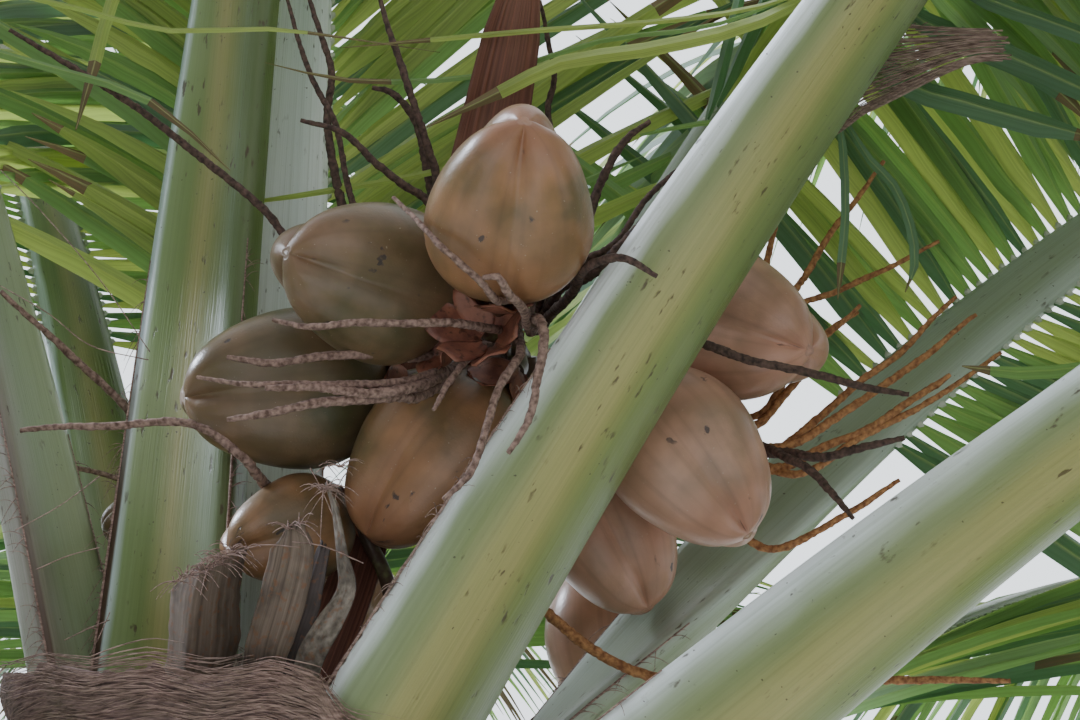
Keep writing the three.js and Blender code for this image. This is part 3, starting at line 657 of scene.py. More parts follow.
# %% Leaflet finishes
def leaflet_finish(name, colour, other, glow, through=0.35, roughness=0.45):
    """A satin blade that lets a share of the light through, yellower than the light it throws back."""
    finish = Finish(name, roughness)
    patch = finish.noise(0.18, detail=2.0)
    tone = finish.mix(finish.spread(patch, 0.35, 0.7), colour, other)
    midrib = finish.add("ShaderNodeAttribute", attribute_name="midrib").outputs["Fac"]
    drift = finish.maths("MULTIPLY", patch, 7.0)
    across = finish.maths("MULTIPLY_ADD", midrib, 5.0, drift)
    vein = finish.add("ShaderNodeTexNoise", {"W": across, "Scale": 1.0, "Detail": 2.0}, noise_dimensions="1D")
    tone = finish.over(tone, vein.outputs[0], 0.46, 0.62, "#4d6440", 0.45)
    tone = finish.over(tone, midrib, 0.8, 0.97, "#c5cb86", 0.55)
    finish.finish(tone, finish.noise(0.012, detail=2.0), 0.0004)
    lit_through = finish.add("ShaderNodeBsdfTranslucent", {"Color": finish.mix(0.75, tone, glow)})
    shares = {0: through, 1: finish.shader.outputs[0], 2: lit_through.outputs[0]}
    both = finish.add("ShaderNodeMixShader", shares)
    finish.tree.links.new(both.outputs[0], finish.tree.nodes["Material Output"].inputs["Surface"])
    return finish.material


LEAFLET_FINISHES = {
    "deep": leaflet_finish("leaflet_deep_green", "#68876c", "#84a284", "#a9d09c", 0.5),
    "green": leaflet_finish("leaflet_mid_green", "#8cac76", "#a2bd88", "#cfeca4", 0.6),
    "fresh": leaflet_finish("leaflet_yellow_green", "#b4c678", "#c8d08a", "#eef6b0", 0.64),
    "dry": leaflet_finish("leaflet_dry_tip", "#8a7350", "#6b563e", "#a98a5a", 0.15, 0.8),
}
WAX = leaflet_finish("leaflet_foot_wax", "#d6d9cb", "#b5bca8", "#c8ccbd", 0.05)

# %% [markdown]
# ## The rule of a leaf
#
# Each leaf starts at a place near the heart, leaves at its own azimuth and rise, and bows more and
# more towards its tip under its own weight. The stalk narrows by one law from foot to tip. These are
# the same few numbers that the plain solids were grown from, so the fine leaves reach just as far.

# %% Sizes of the leaves
FROND = {"bare": 0.25, "taper": 1.6, "bow_power": 1.7, "depth": 0.6, "least": 0.010, "steps": 64}
ROLLS, ROLLS_BACK = (0.0625, 0.25), (0.35, 0.6)
LEAFLET = {
    "longest": 0.880,
    "fullest": 0.35,
    "at_start": 0.66,
    "at_end": 0.34,
    "forward": (4, 68),
    "forward_power": 0.65,
    "young_from": 65,
    "young_lean": 2.2,
    "lift": 8,
    "sag": (0.15, 1.0),
    "stiff": (0.25, 0.35),
    "tries": (1.0, 0.75, 0.5),
}

# how far luck moves a leaflet's sizes from the rule, in degrees or as a share
LUCK = {"forward": 4, "lift": 7, "length": 0.05, "sag": 0.25, "tilt": 12, "twist": 25, "width": 0.12}

# azimuth, rise, bow, length, width of the foot, foot, finish, share of yellow leaflets, the share that
# is bare stalk where it has its own, and the roll about its own line
FRONDS = [
    (150, 85, 26, 3700, 172, (-76, 55, 225), "fresh", 0.5, None),
    (234, 72, 40, 3800, 140, (-80, 50, 60), "old", 0.4, None),
    (180, 78, 36, 3800, 125, (30, 118, 150), "frost", 0.5, 0.15),
    (272, 56, 46, 3700, 135, (-150, -40, -105), "deep", 0.3, None),
    (65, 55.5, 60, 3900, 220, (45, -20, 60), "pale", 0.3, 0.29),
    (109, 48.5, 58, 3900, 140, (50, 30, -44), "grey", 0.3, None, 65),
    (69, 37, 56, 3800, 280, (18, -15, -124), "broad", 0.2, 0.29),
    (102, 63, 50, 3900, 125, (38, 66, 120), "grey", 0.3, None),
    (205, 60, 52, 3900, 135, (-30, 60, 40), "fresh", 0.4, None),
    (148, 56, 56, 3900, 135, (36, 64, 50), "frost", 0.3, None, -30),
    (248, 46, 60, 3900, 140, (-60, 10, -60), "fresh", 0.3, None),
    (304, 40, 60, 3700, 140, (-40, -30, -120), "fresh", 0.2, None),
    (182, 40, 58, 3900, 140, (0, 50, -70), "fresh", 0.2, None),
    (222, 31, 56, 3700, 135, (-30, 20, -140), "deep", 0.2, None),
    (138, 35, 56, 3700, 135, (30, 30, -125), "deep", 0.2, None),
    (98, 14, 52, 3600, 135, (20, 0, -215), "deep", 0.1, None),
    (274, 20, 52, 3600, 135, (-30, 0, -180), "deep", 0.1, None),
    (328, 16, 46, 3400, 135, (-10, -20, -220), "deep", 0.1, None),
    (36, 9, 44, 3400, 135, (20, -30, -255), "deep", 0.1, None),
    (166, 14, 48, 3500, 135, (10, 20, -210), "deep", 0.1, None),
    (238, 7, 44, 3400, 135, (-20, 20, -262), "deep", 0.1, None),
]


# %% A leaf's line
class Frond:
    """One leaf: the bowed line of its rib, and the size and facing of the rib along it."""

    FINE = 512

    def __init__(self, number, azimuth, rise, bow, length, width, foot, finish, yellow, bare, roll=0):
        self.name, self.rise = f"frond_{number}", rise
        self.length, self.width = length / 1000, width / 1000
        self.finish, self.yellow = finish, yellow
        self.bare = bare or FROND["bare"]
        self.shares = np.linspace(0, 1, self.FINE + 1)
        lag = np.clip(self.shares - 0.5 / FROND["steps"], 0, 1)
        angle = np.radians(rise - bow * lag ** FROND["bow_power"])
        outward, level = direction(azimuth, 0), direction(azimuth + 90, 0)
        self.way = np.cos(angle)[:, None] * outward + np.sin(angle)[:, None] * UP
        turn = np.radians(roll) * (smooth(lag, *ROLLS) - smooth(lag, *ROLLS_BACK))[:, None]
        self.left = level * np.cos(turn) + np.cross(self.way, level) * np.sin(turn)
        steps = (self.way[1:] + self.way[:-1]) / 2 * self.length / self.FINE
        self.line = place(foot) + np.vstack([np.zeros(3), np.cumsum(steps, axis=0)])

    def at(self, share):
        """Place, way along, way to the left and way up off the leaf's face, at shares of the length."""
        line, way, left = (
            np.stack([np.interp(share, self.shares, table[:, k]) for k in range(3)], -1)
            for table in (self.line, self.way, self.left)
        )
        along, left = unit(way), unit(left)
        return line, along, left, np.cross(along, left)

    def half(self, share):
        return np.maximum(FROND["least"], self.width * (1 - np.asarray(share)) ** FROND["taper"]) / 2

    def depth(self, share):
        return np.maximum(FROND["least"], 2 * self.half(share) * FROND["depth"])


fronds = [Frond(i + 1, *row) for i, row in enumerate(FRONDS)]
print(len(fronds), "leaves, the longest", max(f.length for f in fronds), "m")

# %% [markdown]
# ## Leaf stalks
#
# In section a stalk is a rounded keel below, two thin margins, and a shallow channel on top that
# fills up and becomes a ridge where the leaflets begin. A swept skin suits it better than a curve
# with a bevel, because the section changes on the way.

# %% The section of a stalk
KEEL_POINTS = 19
TOP_POINTS = 9
STALK_RINGS = 90  # as many again on the rest of the leaf, where it bends more gently
DENSE_TO = 0.35


def stalk_section(crest):
    """Points round the section as (side, height), for half width 1 and depth 1, and U at each."""
    turn = np.linspace(np.pi, 2 * np.pi, KEEL_POINTS)
    side = np.sign(np.cos(turn)) * np.abs(np.cos(turn)) ** 0.86
    height = -0.7 * np.abs(np.sin(turn)) ** 0.95
    height = height + 0.10 * smooth(np.abs(side), 0.9, 1.0)
    across = np.linspace(1, -1, TOP_POINTS + 2)[1:-1]
    top = crest + (0.2 - crest) * np.abs(across) ** 2.2
    top = top - 0.05 * smooth(np.abs(across), 0.85, 1)
    u = np.r_[np.linspace(0, RIM_U, KEEL_POINTS), np.linspace(RIM_U, 1, TOP_POINTS + 2)[1:]]
    return np.r_[side, across], np.r_[height, top], u


def stalk_mesh(frond):
    foot_shares = np.linspace(0, DENSE_TO, STALK_RINGS, endpoint=False)
    shares = np.r_[foot_shares, np.linspace(DENSE_TO, 1, STALK_RINGS)]
    centre, _, left, up = frond.at(shares)
    half, depth = frond.half(shares), frond.depth(shares)
    rings = []
    for i, share in enumerate(shares):
        crest = 0.06 + 0.3 * smooth(share, frond.bare - 0.06, frond.bare + 0.08)
        side, height, around = stalk_section(crest)
        rings.append(centre[i] + np.outer(side * half[i], left[i]) + np.outer(height * depth[i], up[i]))
    return skin(f"{frond.name}_stalk", np.array(rings), around)


# %% Stalk pieces
stalk_meshes = []
for frond in fronds:
    mesh = stalk_mesh(frond)
    stalk_meshes.append(mesh)
    stands_for = [n for n in (frond.name, f"{frond.name}_inner", f"{frond.name}_outer") if n in cad_nodes]
    dress(mesh, STALK_FINISHES[frond.finish], *stands_for, slot="leaf")
print("stalks", sum(triangles(m) for m in stalk_meshes), "triangles")

# %% [markdown]
# ## Keeping clear
#
# Leaflets hang wherever there is room. Before a leaflet is kept, its line is tried against the nuts,
# the trunk and every other stalk, and a leaflet that would touch one is grown shorter or left out.
# A BVH tree answers such questions quickly.

# %% What leaflets keep clear of
def obstacle_tree():
    points, faces, owners = [], [], []
    solids = [(f.name, m) for f, m in zip(fronds, stalk_meshes)]
    solids += [(n, o.data) for n, o in cad_nodes.items() if not n.startswith(("frond", "net", "sheath"))]
    for owner, mesh in solids:
        start = len(points)
        points.extend(v.co[:] for v in mesh.vertices)
        faces.extend([start + i for i in p.vertices] for p in mesh.polygons)
        owners.extend([owner] * len(mesh.polygons))
    return BVHTree.FromPolygons(points, faces), owners


obstacles, owners = obstacle_tree()


def meets(line, owner, room):
    """Whether a line comes within room of anything but its own stalk."""
    for a, b in zip(line[:-1], line[1:]):
        step = Vector(b - a)
        hit = obstacles.ray_cast(Vector(a), step.normalized(), step.length)
        near = obstacles.find_nearest(Vector(b), room)
        for index in (hit[2], near[2]):
            if index is not None and owners[index] != owner:
                return True
    return False


# %% [markdown]
# ## Leaflets
#
# Each leaf carries 150 pairs of leaflets. A leaflet leaves the rib at an angle that closes
# towards the tip, runs out, and droops. Its blade is narrow at the foot, full for half its length,
# and drawn out to a long point. The line, the half width and the way the blade faces go to the
# leaflet tree, one run for each tint.

# %% Growing one leaflet's line
PAIRS = 150
BLADE_WIDTH = 0.031
SEGMENTS = 8
LEAFLET_ROOM = 0.012  # metres that a leaflet keeps from everything but its own rib
CLEAR_VIEW = 2.7  # metres from the viewer within which no leaflet crosses the picture
HALF_PICTURE = 0.52  # of its width, with a little to spare
PICTURE_HEIGHT = 2 / 3  # of its width
DRY_SHARE = 0.3
MID_GREEN_SHARE = 0.55


def leaflet_share(u):
    """Length as a share of the longest, u of the way along the leafy part."""
    before = u < LEAFLET["fullest"]
    end = LEAFLET["at_start"] if before else LEAFLET["at_end"]
    reach = 1 - u / LEAFLET["fullest"] if before else (u - LEAFLET["fullest"]) / (1 - LEAFLET["fullest"])
    return 1 - (1 - end) * reach**2


def leaflet_line(frond, u, side, scale, luck):
    """Points of the midrib, half widths and the way the blade faces. Luck is six draws from -1 to 1."""
    share = frond.bare + (1 - frond.bare) * u
    centre, along, left, up = frond.at(share)
    young = max(0, frond.rise - LEAFLET["young_from"]) * LEAFLET["young_lean"]
    least, most = LEAFLET["forward"]
    closing = least + (most - least) * u ** LEAFLET["forward_power"] + young
    forward = math.radians(min(most, closing) + LUCK["forward"] * luck[0])
    lift = math.radians(LEAFLET["lift"] + LUCK["lift"] * luck[1])
    out = left * side * math.cos(forward) + along * math.sin(forward) + up * math.sin(lift)
    length = LEAFLET["longest"] * leaflet_share(u) * scale * (0.95 + LUCK["length"] * luck[2])
    t = np.linspace(0, 1, SEGMENTS + 1)
    middles = (t[1:] + t[:-1]) / 2
    give = np.interp(u, (0, LEAFLET["stiff"][1]), (LEAFLET["stiff"][0], 1))
    sag = read_off(middles, LEAFLET["sag"]) * (1 + LUCK["sag"] * luck[3]) * give
    ways = unit(out - np.outer(sag, UP))
    foot = centre + left * side * frond.half(share) * 0.9 + up * frond.depth(share) * 0.02
    line = foot + np.vstack([np.zeros(3), np.cumsum(ways * length / SEGMENTS, axis=0)])
    tangents = unit(np.vstack([ways[:1], ways[1:] + ways[:-1], ways[-1:]]))
    face = np.cross(tangents, along)
    face = unit(face * np.sign(face @ up)[:, None])
    twist = math.radians(LUCK["twist"]) * luck[5] * t + math.radians(LUCK["tilt"]) * luck[4]
    across = np.cross(face, tangents)
    face = face * np.cos(twist)[:, None] + across * np.sin(twist)[:, None]
    width = BLADE_WIDTH / 2 * min(1, 0.25 + leaflet_share(u)) * (1 + LUCK["width"] * luck[2])
    half = width * (0.32 + 0.68 * smooth(t, 0, 0.14)) * (1 - 0.96 * np.clip((t - 0.42) / 0.58, 0, 1) ** 1.6)
    return line, half, face


# %% Dealing the leaflets out
def hangs_in_front(line):
    """Whether a line crosses the picture nearer to the viewer than the gap that they look through."""
    rel = line - np.array(camera.location)
    depth = rel @ look
    across = np.abs(rel[:, 0])
    above = np.abs(rel @ np.cross([1.0, 0, 0], look))
    half_width = HALF_PICTURE * VIEW_WIDTH * depth / VIEW_DISTANCE
    return bool(((depth < CLEAR_VIEW) & (across < half_width) & (above < half_width * PICTURE_HEIGHT)).any())


def tint_for(draw, yellow):
    """The tint that a draw from 0 to 1 deals out, on a leaf with a share of yellow leaflets."""
    if draw < yellow:
        return "fresh"
    return "green" if draw < MID_GREEN_SHARE + yellow / 2 else "deep"


def deal_leaflets():
    sprays = {tint: ([], [], []) for tint in LEAFLET_FINISHES}
    feet = ([], [], [])
    left_out = 0
    for frond in fronds:
        for k in range(PAIRS):
            for side in (-1, 1):
                u = (k + 0.5 + 0.25 * side) / PAIRS
                luck = chance.uniform(-1, 1, 6)
                draw, dry_draw, dry_length = chance.uniform(0, 1, 3)
                for scale in LEAFLET["tries"]:
                    line, half, face = leaflet_line(frond, u, side, scale, luck)
                    if not meets(line, frond.name, LEAFLET_ROOM) and not hangs_in_front(line):
                        break
                else:
                    left_out += 1
                    continue
                tint = tint_for(draw, frond.yellow)
                cut = SEGMENTS - int(1 + 2.5 * dry_length) if dry_draw < DRY_SHARE else SEGMENTS
                for column, values in zip(sprays[tint], (line, half, face)):
                    column.append(values[: cut + 1])
                if cut < SEGMENTS:
                    for column, values in zip(sprays["dry"], (line, half, face)):
                        column.append(values[cut:])
                for column, value in zip(feet, (line[0], unit(line[1] - line[0]), half[0])):
                    column.append(value)
    print("leaflets", len(feet[0]), "left out", left_out)
    return sprays, feet


sprays, feet = deal_leaflets()

# %% [markdown]
# ### Stray leaflets
#
# A few long leaflets have blown across the heart and dried at the tip. Wind laid them so, not the rule
# of growth, so each is written down as a few places that its midrib passes, with its half width in
# millimetres.

# %% Stray leaflets
STRAYS = [
    ("fresh", 3.0, [(-680, -60, 652), (-470, -150, 892), (-257, -170, 990), (-62, -150, 960),
                    (38, -140, 967), (216, -120, 949)]),
    ("fresh", 3.0, [(652, -330, 944), (543, -220, 953), (435, -120, 984), (320, -60, 1004),
                    (202, -30, 1007), (105, -20, 1002)]),
    ("fresh", 8.0, [(673, -330, 970), (544, -200, 947), (424, -120, 952), (341, -60, 966),
                    (277, -40, 941), (200, -40, 900)]),
    ("green", 3.5, [(663, -330, 959), (506, -150, 969), (384, -40, 1002), (255, 20, 989), (115, 0, 974),
                    (28, -60, 966)]),
    ("fresh", 3.5, [(-28, 170, 899), (92, 60, 870), (212, 40, 885), (244, 30, 895)]),
    ("green", 3.0, [(429, 60, 935), (495, 60, 949), (594, 60, 956), (638, 60, 958)]),
    ("green", 7.0, [(977, -150, 619), (859, -190, 577), (788, -200, 567), (732, -200, 573)]),
    ("fresh", 7.0, [(-26, 90, 1227), (-111, 20, 1153), (-143, -20, 1059), (-155, -40, 978),
                    (-170, -50, 892)]),
    ("deep", 12.0, [(673, -150, 1006), (721, -130, 979), (799, -120, 949), (880, -120, 908),
                    (947, -130, 862)]),
    ("deep", 13.0, [(659, -150, 950), (697, -130, 910), (755, -120, 894), (836, -120, 868),
                    (905, -130, 843)]),
    ("deep", 10.0, [(724, -160, 1024), (788, -140, 1000), (841, -130, 984), (902, -130, 958),
                    (960, -140, 921)]),
    ("deep", 9.0, [(684, -140, 988), (759, -110, 962), (812, -100, 944), (862, -100, 913), (891, -100, 877)]),
    ("deep", 5.0, [(635, -120, 872), (660, -110, 831), (684, -100, 808), (700, -100, 763),
                   (703, -100, 719), (692, -100, 689)]),
    ("deep", 4.5, [(627, -130, 879), (632, -120, 838), (633, -110, 770), (627, -110, 718), (622, -110, 677)]),
    ("green", 5.0, [(-571, -60, 969), (-373, -100, 984), (-180, -110, 934), (-85, -110, 899),
                    (0, -100, 824)]),
]
for tint, half_width, points in STRAYS:
    line, shares = path_through(place(points), 0.045)
    half = half_width / 1000 * (0.5 + 0.5 * smooth(shares, 0, 0.3)) * (1 - 0.9 * smooth(shares, 0.75, 1.0))
    tilt = chance.uniform(-0.5, 0.5)
    tangents = unit(np.gradient(line, axis=0))
    face = np.cross(np.cross(tangents, [0, -1.0, -0.3 + tilt]), tangents)
    cut = int(len(line) * chance.uniform(0.72, 0.85))
    for name, part in ((tint, slice(0, cut + 1)), ("dry", slice(cut, None))):
        for column, values in zip(sprays[name], (line, half, unit(face))):
            column.append(values[part])

# %% Leaflet pieces
all_fronds = [n for n in cad_nodes if n.startswith("frond")]
for tint, (lines, halves, faces) in sprays.items():
    stems = lines_mesh(f"leaflets_{tint}", lines, half=halves, face=faces)
    grow(stems, BLADES, *all_fronds, slot="leaf", Material=LEAFLET_FINISHES[tint])

# %% [markdown]
# ### Leaflet feet
#
# Where a leaflet meets the rib it swells into a small waxy joint, which the leaf uses to set the
# blade's angle. In a close view these pale knuckles run along both sides of the rib like beads.

# %% Waxy feet of the leaflets
def points_mesh(name, points, half, face):
    mesh = bpy.data.meshes.new(name)
    mesh.from_pydata([tuple(p) for p in points], [], [])
    mesh.attributes.new("half", "FLOAT", "POINT").data.foreach_set("value", np.asarray(half, np.float32))
    vectors = np.asarray(face, np.float32).ravel()
    mesh.attributes.new("face", "FLOAT_VECTOR", "POINT").data.foreach_set("vector", vectors)
    return mesh


foot_points, foot_ways, foot_halves = (np.array(column) for column in feet)
stems = points_mesh("leaflet_feet", foot_points + foot_ways * 0.004, foot_halves * 0.95, foot_ways)
grow(stems, SWELLINGS, slot="leaf", Segments=6, Rings=3, Stretch=1.7, Material=WAX)

# %% [markdown]
# ## Nuts
#
# A coconut in its husk is a rounded, three-sided body. Three broad ridges run from the stalk end and
# draw together at the tip in a shallow crease. The solid's own rule gives the shape, and a finer skin
# adds the crease, the dimple and a little unevenness.

# %% The nut's finish
def husk_finish(name, lit, body, shade, blush):
    """Waxy husk, made in three copies: bronze, a darker olive and a lighter rose. The rose copy's pink
    is the husk's own, and its extra lightness is painted light.
    """
    finish = Finish(name, roughness=0.34, coat=0.2)
    _, v, _ = finish.along()
    cloud = finish.noise(0.10, detail=2.0)
    tone = finish.mix(finish.spread(cloud, 0.36, 0.64), shade, body)
    ridge = finish.noise(0.05, detail=3.0, offset=(2, 5, 1))
    tone = finish.over(tone, ridge, 0.42, 0.75, lit, 0.75)
    streak = finish.grain(0.03, 0.4, 3.0)
    tone = finish.over(tone, streak, 0.5, 0.8, "#4c3a28", 0.3)
    tone = finish.over(tone, v, 0.16, 0.225, blush, 0.45)
    tone = finish.over(tone, v, 0.05, 0.0, "#5b4a30", 0.6)
    scar = finish.grain(0.035, 0.02, 6.0, offset=(1.3, 4.2, 0))
    where_scarred = finish.noise(0.06, offset=(9, 1, 4))
    scars = finish.times(finish.spread(scar, 0.62, 0.66), finish.spread(where_scarred, 0.56, 0.6))
    tone = finish.mix(finish.times(scars, 0.85), tone, "#3a3034")
    chalk = finish.noise(0.003, detail=1.0, offset=(1, 1, 1))
    tone = finish.over(tone, chalk, 0.76, 0.8, "#cdbfae", 0.35)
    fine = finish.noise(0.0025, detail=2.0)
    height = finish.maths("MULTIPLY_ADD", scars, -0.8, fine)
    return finish.finish(tone, height, 0.00025, finish.spread(cloud, 0.3, 0.7, 0.3, 0.42))


HUSKS = {
    "bronze": husk_finish("husk_bronze", "#b5835f", "#96694a", "#705c40", "#a96d57"),
    "olive": husk_finish("husk_olive", "#8f7156", "#6d5840", "#534f35", "#946650"),
    # rose: the pink is the husk's own, and the extra lightness is painted light for the nuts at the right
    "rose": husk_finish("husk_rose", "#dba68e", "#c0907a", "#9f7e68", "#cc8a78"),
}

# %% Nut sizes and places
NUT = {
    "length": 0.222,
    "width": 0.156,
    "fullest": 0.8,
    "roundness": 0.6,
    "ridge": 0.065,
    "tip_valley": 0.14,
    "side_valley": 0.085,
    "dimple": 0.042,
    "dimple_reach": 0.46,
    "seam": 0.034,
    "rings": 60,
    "sides": 78,
}

# node, seat, azimuth, rise, size, spin about its own axis, finish
NUTS = [
    ("nut_front_1", (279, -210, 651), 8, 26, 1.0, 62, "bronze"),
    ("nut_front_2", (223, -95, 678), 315, -1, 1.0, 78, "olive"),
    ("nut_front_3", (160, 16, 632), 290, -11, 1.04, 66, "olive"),
    ("nut_front_4", (284, -56, 607), 263, -49, 1.0, 62, "bronze"),
    ("nut_front_5", (120, 22, 492), 303, -25, 0.7, 84, "bronze"),
    ("nut_right_1", (462, 72, 736), 45, -27, 1.0, 18, "rose"),
    ("nut_right_2", (409, -10, 620), 76, -54, 1.0, 40, "rose"),
    ("nut_right_3", (350, 128, 588), 85, -64, 0.9, 52, "rose"),
    ("nut_right_4", (391, 299, 518), 82, -86, 0.9, 44, "rose"),
    ("nut_back_1", (-68, 196, 548), 278, -15, 0.43, 0, "olive"),
    ("nut_back_2", (-46, 374, 506), 221, -37, 0.95, 0, "olive"),
    ("nut_back_3", (-30, 367, 600), 182, 15, 0.95, 0, "bronze"),
    ("nut_back_4", (41, 348, 548), 142, -35, 0.9, 0, "bronze"),
]


def turned_to(way):
    """The turn that takes straight up to a direction by the shortest way, as a matrix."""
    return np.array(Vector((0, 0, 1)).rotation_difference(Vector(way)).to_matrix())


# %% Nut meshes
def nut_mesh(name, seat, azimuth, rise, size, spin, luck):
    """Rings from the stalk end to the tip, closer together at both ends, where the husk turns fast."""
    u = (1 - np.cos(np.linspace(0.03, 1, NUT["rings"]) * np.pi)) / 2
    u = np.clip(u, 0.0015, 0.9985)
    turn = np.linspace(0, 2 * np.pi, NUT["sides"], endpoint=False)
    u, turn = np.meshgrid(u, turn, indexing="ij")
    blunt = NUT["roundness"] - 0.12 * smooth(u, 0.5, 0.9)
    swell = np.sin(np.pi * u ** NUT["fullest"]) ** blunt
    valley = 1 - np.abs(np.cos(1.5 * turn))
    lobes = 1 + NUT["ridge"] * (1 + u) * np.cos(3 * turn)
    lobes = lobes - NUT["tip_valley"] * smooth(u, 0.62, 1.0) * valley**2
    lobes = lobes - NUT["side_valley"] * smooth(u, 0.05, 0.7) * valley**2.6
    lobes = lobes + 0.012 * np.sin(2 * turn + luck[0] * 3) + 0.008 * np.sin(5 * turn + 9 * u + luck[1] * 3)
    radius = NUT["width"] / 2 * swell * lobes
    dimple = NUT["dimple"] * np.exp(-((swell / NUT["dimple_reach"]) ** 2)) * (u > 0.5)
    dimple = dimple + NUT["seam"] * smooth(u, 0.72, 0.93) * (1 - smooth(u, 0.97, 1)) * valley**1.3
    height = NUT["length"] * (u - dimple)
    spun = turn + math.radians(spin)
    local = np.stack([radius * np.sin(spun), -radius * np.cos(spun), height], -1) * size
    return skin(name, place(seat) + local @ turned_to(direction(azimuth, rise)).T)


for name, seat, azimuth, rise, size, spin, husk in NUTS:
    mesh = nut_mesh(f"{name}_husk", seat, azimuth, rise, size, spin, chance.uniform(-1, 1, 2))
    dress(mesh, HUSKS[husk], name, slot="nut_skin")
print("nuts", len(NUTS))

# %% [markdown]
# ## Calyx
#
# Each nut hangs in a cup of six leathery scales, three inside three, orange-brown and curled at the
# rim. When a nut drops, its cup stays behind. A scale is a curved patch with two faces a little
# apart, so it is bent from a flat grid in code.

# %% Calyx finish and scales
def scale_finish():
    finish = Finish("calyx_scale", roughness=0.5, coat=0.08)
    patch = finish.noise(0.02, detail=4.0)
    tone = finish.mix(finish.spread(patch, 0.35, 0.68), "#a66a54", "#74453a")
    rim = finish.noise(0.008, detail=3.0, offset=(4, 2, 0))
    tone = finish.over(tone, rim, 0.58, 0.7, "#3d241a", 0.8)
    return finish.finish(tone, finish.noise(0.003), 0.0005)


CALYX = scale_finish()


def sheet_rings(front, back):
    """A sheet with two faces as rings for a skin: each ring goes up one face and down the other."""
    return np.concatenate([front, back[:, ::-1]], axis=1)


SCALE_GRID = np.linspace(0, 1, 9)
SCALE_THICKNESS = 0.0022
SCALE_SPREAD = 36  # degrees round the cup, to each side


def scale_mesh(name, foot, axis, turn, size, open_out, luck):
    along = unit(np.asarray(axis, float))
    basis = turned_to(along)
    s = SCALE_GRID[:, None]
    q = 2 * SCALE_GRID[None, :] - 1
    spread = math.radians(SCALE_SPREAD) * (1.0 - 0.55 * s**3) * q
    angle = turn + spread + 0.06 * luck[0] * s
    radius = 0.010 + 0.037 * s**0.62 + open_out * s**3 + 0.004 * (np.abs(q) ** 2) * s
    ahead = -0.019 + 0.044 * s - 0.006 * (np.abs(q) ** 2) * s + 0.004 * luck[1] * s**2
    layers = []
    for thick in (0.0, SCALE_THICKNESS):
        r = (radius + thick * (1 - 0.6 * s)) * size
        height = (ahead - thick * 0.3) * size + 0 * angle
        local = np.stack([r * np.sin(angle), -r * np.cos(angle), height], -1)
        layers.append(foot + local @ basis.T)
    return skin(name, sheet_rings(*layers))


def joined(name, meshes):
    """Joins many small closed meshes into one."""
    points, faces, uvs = [], [], []
    total = 0
    for mesh in meshes:
        points.append(np.array([v.co for v in mesh.vertices]))
        faces.extend([[total + i for i in p.vertices] for p in mesh.polygons])
        uv = np.zeros(len(mesh.loops) * 2, np.float32)
        mesh.uv_layers[0].data.foreach_get("uv", uv)
        uvs.append(uv)
        total += len(mesh.vertices)
        bpy.data.meshes.remove(mesh)
    whole = bpy.data.meshes.new(name)
    whole.from_pydata(np.concatenate(points).tolist(), [], faces)
    whole.uv_layers.new(name="UVMap").data.foreach_set("uv", np.concatenate(uvs))
    whole.polygons.foreach_set("use_smooth", [True] * len(whole.polygons))
    print(name, triangles(whole), "triangles")
    return whole


def calyx(foot, axis, size, open_out):
    meshes = []
    for ring in range(2):
        for third in range(3):
            turn = (third * 2 + ring) * math.pi / 3
            luck = chance.uniform(-1, 1, 2)
            inner_size = size * (1.0 - 0.1 * ring)
            meshes.append(scale_mesh("scale", foot, axis, turn, inner_size, open_out, luck))
    return meshes


OPEN_ROUND_A_NUT = 0.002  # metres that a scale's rim stands further out
OPEN_WHEN_EMPTY = 0.004

# foot, azimuth, rise, size: cups whose nuts have dropped
EMPTY_CUPS = [
    ((264, -178, 620), 340, 12, 1.0),
    ((222, -130, 616), 300, 0, 0.6),
]
scales = []
for name, seat, azimuth, rise, size, spin, husk in NUTS:
    scales += calyx(place(seat), direction(azimuth, rise), size, OPEN_ROUND_A_NUT)
for foot, azimuth, rise, size in EMPTY_CUPS:
    scales += calyx(place(foot), direction(azimuth, rise), size, OPEN_WHEN_EMPTY)
dress(joined("calyx_scales", scales), CALYX, slot="flower_stalk")

# %% [markdown]
# ## Flower stalks and twigs
#
# A bunch hangs on one thick stalk that ends in many thin twigs. The flowers sat all along the twigs,
# and where they fell off the twig is pitted and knobbly, like a string of worn beads. The rod tree
# does that with noise as coarse as the scars.

# %% Twig finishes
def twig_finish(name, ridge, pit):
    finish = Finish(name, roughness=0.8)
    knob = finish.noise(0.005, detail=3.0)
    tone = finish.mix(finish.spread(knob, 0.32, 0.66), pit, ridge)
    return finish.finish(tone, knob, 0.0012)


TWIGS = {
    "brown": twig_finish("flower_twig_brown", "#a5877c", "#5a4138"),
    "orange": twig_finish("flower_twig_orange", "#c08a5c", "#7d4d30"),
    "dark": twig_finish("flower_twig_dark", "#6a5148", "#33241f"),
}
PEDUNCLE = STALK_FINISHES["bunch"]

